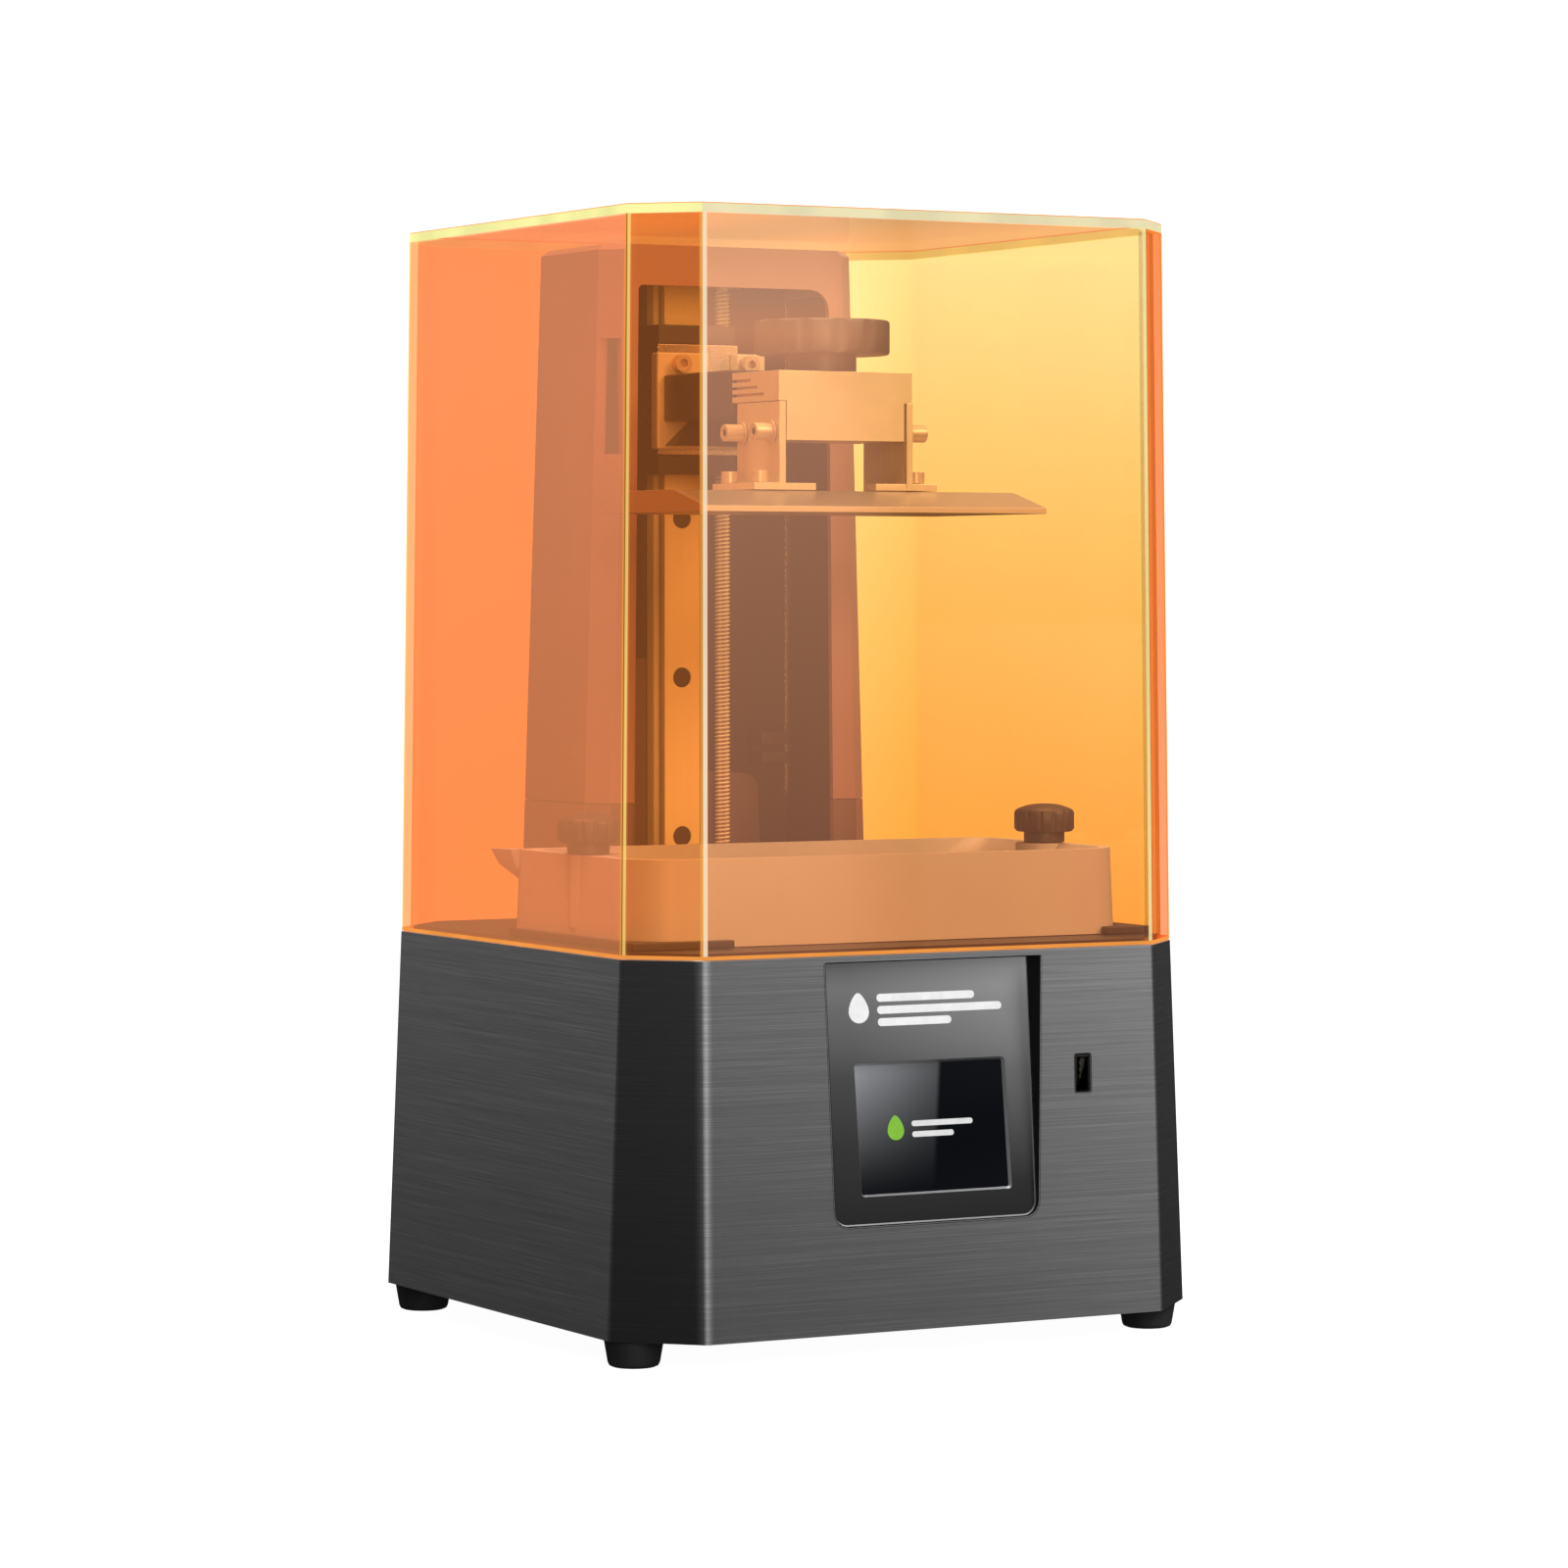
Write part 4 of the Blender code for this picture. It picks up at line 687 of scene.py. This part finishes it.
def build_lead_screw():
    """The screw's plain foot, its thread as a helix of crests and grooves, and the journal at its top."""
    shape = bmesh.new()
    x, y = 12.0, 68.2
    crest, root_radius, pitch = 3.0, 2.45, 1.5
    foot, low, high, tip = 106.0, 145.5, 384.0, 392.0
    foot_radius, journal_radius = 2.5, 2.2
    around, per_pitch = 20, 5
    levels = int((high - low) / pitch * per_pitch)
    loops = [at_height(circle(foot_radius, (x, y), around), foot)]
    for level in range(levels + 1):
        z = low + (high - low) * level / levels
        loop = []
        for i in range(around):
            turn = 2 * math.pi * i / around
            phase = (z / pitch - i / around) % 1.0
            lift = min(max(1.5 - 4.0 * abs(phase - 0.5), 0.0), 1.0)
            radius = root_radius + (crest - root_radius) * lift
            loop.append((x + radius * math.cos(turn), y + radius * math.sin(turn), z))
        loops.append(loop)
    loops += [at_height(circle(journal_radius, (x, y), around), z) for z in (high + 0.4, tip)]
    for count, face in enumerate(rings(shape, loops)):
        level, i = divmod(count, around)
        z = low + (high - low) * (level - 0.5) / levels
        off_crest = abs((z / pitch - (i - 0.5) / around) % 1.0 - 0.5)
        # The grooves get the shaded copy of the steel, painted shade; the crests get the lit copy, painted
        # light.
        face.material_index = int(0 < level <= levels and off_crest > 0.25)
    make("lead_screw_thread", shape, [SCREW, GROOVE_SHADE], "drive_screw", "lead_screw", angle=70.0)


build_lead_screw()

# ---------------------------------------------------------------- knobs

VAT_KNOB_X = 95.5


def lobed(shape, middle, profile, steps, flutes, ring, bite, shift=0.0, plain_above=math.inf):
    """A turned knob with round flutes: profile lists (height, radius), and each flute is a circle of radius
    bite centred at the distance ring. The flutes are turned by shift of their pitch, and end at plain_above."""
    loops = []
    for z, radius in profile:
        loop = []
        for i in range(steps):
            turn = 2 * math.pi * i / steps
            off = (turn / (2 * math.pi) * flutes - shift + 0.5) % 1.0 - 0.5
            side = ring * math.sin(off * 2 * math.pi / flutes)
            reach = radius
            if abs(side) < bite and z <= plain_above:
                flute = ring * math.cos(off * 2 * math.pi / flutes) - math.sqrt(bite ** 2 - side ** 2)
                reach = min(radius, flute)
            loop.append((middle[0] + reach * math.cos(turn), middle[1] + reach * math.sin(turn), z))
        loops.append(loop)
    rings(shape, loops)


def build_vat_knobs():
    """Domed knobs with fine flutes, each on its threaded rod."""
    for label, x in (("left", -VAT_KNOB_X), ("right", VAT_KNOB_X)):
        shape = bmesh.new()
        profile = [(141.0, 2.5), (176.3, 2.5), (176.3, 7.4), (176.5, 7.6), (180.2, 7.6), (180.2, 9.9),
                   (180.5, 10.5), (181.4, 11.2), (187.2, 11.2), (187.7, 11.0), (188.1, 10.75), (188.2, 10.7),
                   (188.8, 9.8), (189.4, 8.2), (190.1, 6.0), (190.35, 4.5), (190.55, 2.5), (190.6, 0.4)]
        lobed(shape, (x, WORK_Y), profile, 140, 14, 11.75, 1.15, plain_above=188.1)
        knob = "vat_knob_" + label
        make("vat_knob_grip_" + label, shape, [KNOB], knob, knob, angle=40.0)


def build_clamp_knob():
    """The large star knob on top of the build head, with wide flutes and a dished top."""
    shape = bmesh.new()
    radius = 24.65
    profile = [(345.4, 3.0), (349.8, 3.0), (349.8, 12.2), (350.1, 12.5), (356.0, 12.5), (356.0, radius - 1.1),
               (356.15, radius - 0.6), (356.5, radius - 0.2), (357.1, radius), (367.4, radius),
               (368.0, radius - 0.2), (368.35, radius - 0.6), (368.5, radius - 1.1), (368.5, 15.0),
               (368.0, 14.6), (368.0, 0.4)]
    lobed(shape, (0.0, -31.3), profile, 180, 12, 30.4, 6.6, 0.5)
    make("clamp_knob_grip", shape, [KNOB], "clamp_knob", "clamp_knob", angle=40.0)


build_vat_knobs()
build_clamp_knob()

# ---------------------------------------------------------------- column and head


def build_rail_plugs():
    """The dust caps pressed into the rail's screw holes."""
    shape = bmesh.new()
    rail_x, lowest, pitch = -10.2, 177.0, 60.3
    for i in range(4):
        turned(shape, [(0.2, 59.25), (3.3, 59.25), (3.7, 59.6), (3.7, 61.0), (0.2, 61.0)],
               (rail_x, 0.0, lowest + pitch * i), "Y", 28)
    make("rail_plugs", shape, [BLACK], "chassis")


def build_recess():
    """A bright line in the column's recess, and dark sheets that paint the shade on its side walls."""
    shape = bmesh.new()
    bar(shape, (42.3, 73.3, 192.0), (42.8, 73.9, 380.0))
    make("recess_line", shape, [STEEL], "chassis")
    # painted shade: dark sheets on the recess's side walls
    shape = bmesh.new()
    for x in (-42.95, 42.75):
        bar(shape, (x, 37.2, 146.0), (x + 0.2, 73.6, 382.0))
    make("slot_painted_shade", shape, [DARK], "chassis")


def build_sockets():
    """Painted shade: dark discs at the bottoms of the hexagon sockets in the head's cap screws."""
    shape = bmesh.new()
    radius, thick = 1.34, 0.1
    for side in (-1, 1):
        for y in (-44.0, -22.0):
            turned(shape, [(radius, 0.0), (radius, side * thick)], (side * 35.2, y, 327.5), "X", 6)
        for y in (-43.5, -20.5):
            turned(shape, [(radius, 0.0), (radius, thick)], (side * 32.5, y, 313.1), "Z", 6)
    make("socket_painted_shade", shape, [POCKET_SHADE], "build_head")


build_rail_plugs()
build_recess()
build_sockets()

# ---------------------------------------------------------------- marks on the panel and the display

PANEL_FOOT_Y, PANEL_FOOT_Z = -114.19, 47.6  # the panel's lower edge, on its face
PANEL_LEAN = math.radians(6.919)


def on_panel(x, height, depth):
    """A point given along the panel's face, with its depth behind the face."""
    return (x, PANEL_FOOT_Y + height * math.sin(PANEL_LEAN) + depth * math.cos(PANEL_LEAN),
            PANEL_FOOT_Z + height * math.cos(PANEL_LEAN) - depth * math.sin(PANEL_LEAN))


def sticker(shape, outline, depth, thick=0.12):
    """A thin raised shape on the panel's face, from an outline of (x, height along the face)."""
    rings(shape, [[on_panel(x, h, depth + d) for x, h in outline] for d in (0.0, -thick)])


def droplet(middle, size, steps=28):
    """A drop: a round belly that runs up into a point."""
    points = []
    for i in range(steps):
        turn = 2 * math.pi * i / steps
        rise, reach = math.cos(turn), math.sin(turn)
        belly = 1.0 if rise < 0 else 1.0 - 0.35 * rise ** 1.5
        tip = 1.0 if rise < 0.98 else 0.2
        points.append((middle[0] + size * 0.62 * belly * reach * tip,
                       middle[1] + size * (rise if rise > 0 else 0.62 * rise)))
    return points


def build_marks():
    """A drop and plain bars on the panel, and the same again, smaller, on the display."""
    shape = bmesh.new()
    sticker(shape, droplet((-26.5, 75.0), 6.6), 0.02)
    for row, (start, end) in enumerate(((-19.0, 21.0), (-19.0, 32.0), (-19.0, 11.0))):
        height = 79.6 - row * 4.3
        sticker(shape, rectangle((end - start) / 2, 1.4, ((start + end) / 2, height), 1.3, 3), 0.02)
    # The emblem is print, drawn as a glow that keeps its colour in any light: painted light.
    make("panel_emblem", shape, [lit("mark_white", (0.92, 0.92, 0.92))], "chassis")
    shape = bmesh.new()
    sticker(shape, droplet((-13.6, 32.6), 5.4), 1.32, 0.1)
    make("screen_drop", shape, [lit("screen_green", (0.25, 0.55, 0.06))], "chassis")
    shape = bmesh.new()
    for row, (start, end) in enumerate(((-7.0, 18.0), (-7.0, 10.0))):
        height = 34.8 - row * 3.8
        sticker(shape, rectangle((end - start) / 2, 1.0, ((start + end) / 2, height), 0.9, 3), 1.32, 0.1)
    make("screen_bars", shape, [lit("screen_white", (0.8, 0.8, 0.8))], "chassis")


build_marks()


# ---------------------------------------------------------------- edges of the panel and of the USB socket


def wall_y(z):
    """Where the outside of the base's leaning front wall is at a height."""
    return -116.9 + (z - 10.0) / 132.3 * 4.7


def build_pocket_shade():
    """Painted shade round the panel's pocket: a black sheet from the wall in to the panel's face, and a thin
    lip for the shaded gap.
    """
    shape = bmesh.new()
    loops = []
    for inset in (0.03, 0.3):
        outline = trapezoid(41.6 - inset, 44.2 - inset, 47.3 + inset, 139.9, (5.5 - inset, 0.4))
        wall = [(x, wall_y(z) + 0.15, z) for x, z in outline]
        face = [(x, -113.9 + (z - 50.0) / 89.0 * 10.8 - 0.02, z) for x, z in outline]
        loops += [wall, face] if inset < 0.1 else [face, wall]
    lip = trapezoid(42.1, 44.7, 46.8, 140.3, (6.0, 0.8))
    loops.append([(x, wall_y(z) - 0.04, z) for x, z in lip])
    rings(shape, loops, closed=True)
    make("pocket_painted_shade", shape, [POCKET_SHADE], "chassis")


def build_panel_edge():
    """A painted highlight: a thin bright line along the panel's sides and foot."""
    shape = bmesh.new()
    low, high, rise = 41.3, 43.9, 92.5
    loops = [rounded([(-high + i, rise), (-low + i, i), (low - i, i), (high - i, rise)],
                     [0.2, 5.3 - i, 5.3 - i, 0.2]) for i in (0.02, 0.5)]
    outer, inner = ([shape.verts.new(on_panel(x, h, -0.05)) for x, h in loop] for loop in loops)
    for i in range(len(outer) - 1):
        shape.faces.new((outer[i], outer[i + 1], inner[i + 1], inner[i]))
    make("panel_edge", shape, [TRIM], "chassis")


def build_window_bevel():
    """The bevel round the display's window, down to the glass."""
    shape = bmesh.new()
    middle = (1.2, (80.75 - PANEL_FOOT_Z) / math.cos(PANEL_LEAN))
    mouth, seat = (rectangle(30.85 - i, 23.5 - i, middle, 1.5 - i, 5) for i in (0.0, 0.75))
    rings(shape, [[on_panel(x, h, d) for x, h in outline]
                  for outline, d in ((mouth, 0.06), (seat, 1.26), (mouth, 1.26))], closed=True)
    make("window_bevel", shape, [TRIM], "chassis")


def build_usb():
    """Painted shade in the gap round the USB socket, as a black rim, and the four contacts on its tongue."""
    shape = bmesh.new()
    x, z = 61.1, 97.25
    lean = 0.0355
    # painted shade: a black rim for the shaded gap round the socket
    rim, hole = (rectangle(3.66 - i, 7.31 - i, (x, z), 0.96 - i * 0.3, 4) for i in (0.0, 0.55))
    rings(shape, [[(px, wall_y(z) + d + (pz - z) * lean, pz) for px, pz in outline]
                  for outline, d in ((rim, 0.1), (hole, 0.25), (hole, 1.6), (rim, 1.6))], closed=True)
    make("usb_gap_shade", shape, [BLACK], "chassis")
    shape = bmesh.new()
    for i in range(4):
        bar(shape, (x - 0.42, -112.2, z - 4.6 + i * 2.6), (x - 0.29, -104.0, z - 3.4 + i * 2.6))
    make("usb_contacts", shape, [BRASS], "chassis")


build_pocket_shade()
build_panel_edge()
build_window_bevel()
build_usb()

# ---------------------------------------------------------------- stage and light

BACKGROUND = 1.25  # strength of the white floor and air, above pure white so that both look even
AROUND = 0.05  # strength of the light that comes from all sides
AIM = (0.0, 0.0, 0.2)  # where the lights point


def build_floor():
    """A white floor with a faint soft shadow under the object."""
    shape = bmesh.new()
    rings(shape, [at_height(circle(radius, (0.0, 0.0), 64), 0.0) for radius in (12000.0, 1.0)], caps=False)
    g = Graph("pale_floor")
    cloud = g.noise(3.0, 2.0)
    tone = g.mixed(g.span(cloud, 0.3, 0.7), (0.93, 0.93, 0.93), (0.95, 0.95, 0.95))
    soft = g.node("ShaderNodeBsdfDiffuse", {"Color": tone})
    glow = g.node("ShaderNodeEmission", {"Color": (1.0, 1.0, 1.0, 1.0), "Strength": BACKGROUND})
    reach = g.node("ShaderNodeVectorMath", {0: g.place()}, out=1, operation="LENGTH")
    share = g.span(reach, 0.12, 0.6, 0.78, 1.0)
    look = g.end(g.node("ShaderNodeMixShader", {0: share, 1: soft, 2: glow}))
    shape.transform(Matrix.Scale(MM, 4))
    floor = added("floor", shape, [look])
    floor.visible_diffuse = floor.visible_glossy = False


def area(name, place, size, power):
    """A rectangular light, which the camera doesn't see."""
    data = bpy.data.lights.new(name, "AREA")
    data.shape = "RECTANGLE"
    data.size, data.size_y = size
    data.energy = power
    light = bpy.data.objects.new(name, data)
    light.location = place
    light.rotation_euler = (Vector(AIM) - Vector(place)).to_track_quat("-Z", "Y").to_euler()
    light.visible_camera = False
    bpy.context.scene.collection.objects.link(light)


def build_world():
    """White air where the camera looks, and a little light from all sides."""
    world = bpy.data.worlds.new("studio")
    bpy.context.scene.world = world
    world.use_nodes = True
    tree = world.node_tree
    tree.nodes.clear()
    path = tree.nodes.new("ShaderNodeLightPath")
    mix = tree.nodes.new("ShaderNodeMixShader")
    target = tree.nodes.new("ShaderNodeOutputWorld")
    tree.links.new(path.outputs["Is Camera Ray"], mix.inputs[0])
    for socket, strength in ((1, AROUND), (2, BACKGROUND)):
        air = tree.nodes.new("ShaderNodeBackground")
        air.inputs["Color"].default_value = (1.0, 1.0, 1.0, 1.0)
        air.inputs["Strength"].default_value = strength
        tree.links.new(air.outputs[0], mix.inputs[socket])
    tree.links.new(mix.outputs[0], target.inputs["Surface"])


def card(name, y, ends, stops, strength, fade=None):
    """A glowing card for reflections, which the camera doesn't see.

    It stands at y between two ends in x; stops = (height, tone) pairs from its foot to its top, and
    fade = (x that is dark, x that is bright).
    """
    low, high = stops[0][0], stops[-1][0]
    shape = bmesh.new()
    shape.faces.new([shape.verts.new((x, y, z)) for x, z in
                     ((ends[0], low), (ends[1], low), (ends[1], high), (ends[0], high))])
    g = Graph(name)
    tone = g.ramp(g.span(g.axis("Z"), low, high), [((h - low) / (high - low), v) for h, v in stops])
    if fade:
        share = g.ramp(g.span(g.axis("X"), *fade), ((0.0, 0.0), (1.0, 1.0)))
        tone = g.mixed(1.0, tone, share, "MULTIPLY")
    look = g.end(g.node("ShaderNodeEmission", {"Color": tone, "Strength": strength}))
    made = added(name, shape, [look])
    made.visible_camera = made.visible_shadow = False


build_floor()
build_world()
area("key", (1.7, -2.0, 2.1), (1.6, 1.2), 60.0)
area("overhead", (0.0, 0.0, 2.4), (2.2, 2.2), 110.0)
area("edge_strip", (-0.62, -1.9, 0.55), (0.4, 1.3), 19.0)
card("front_card", -2.5, (0.6, 2.6),
     ((0.0, 0.02), (0.3, 0.05), (0.4, 0.12), (0.6, 0.62), (0.9, 0.9), (1.6, 1.0)), 2.2, (0.7, 2.1))
card("low_card", -2.46, (0.9, 2.6), ((-0.7, 0.1), (-0.2, 0.45), (0.1, 0.8), (0.3, 0.9)), 0.9, (1.0, 2.0))
card("haze_card", -2.45, (0.9, 1.36), ((-0.1, 0.2), (0.3, 0.45), (0.8, 1.0)), 1.6, (1.36, 1.27))
card("rear_left_card", 2.4, (-2.4, -0.4), ((-0.4, 0.12), (0.1, 0.4), (0.5, 0.9), (1.4, 1.0)), 0.5)
card("rear_right_card", 2.4, (0.3, 2.9),
     ((-0.6, 0.15), (0.0, 0.4), (0.5, 0.8), (1.0, 0.5), (1.7, 0.0)), 1.1, (0.3, 1.6))
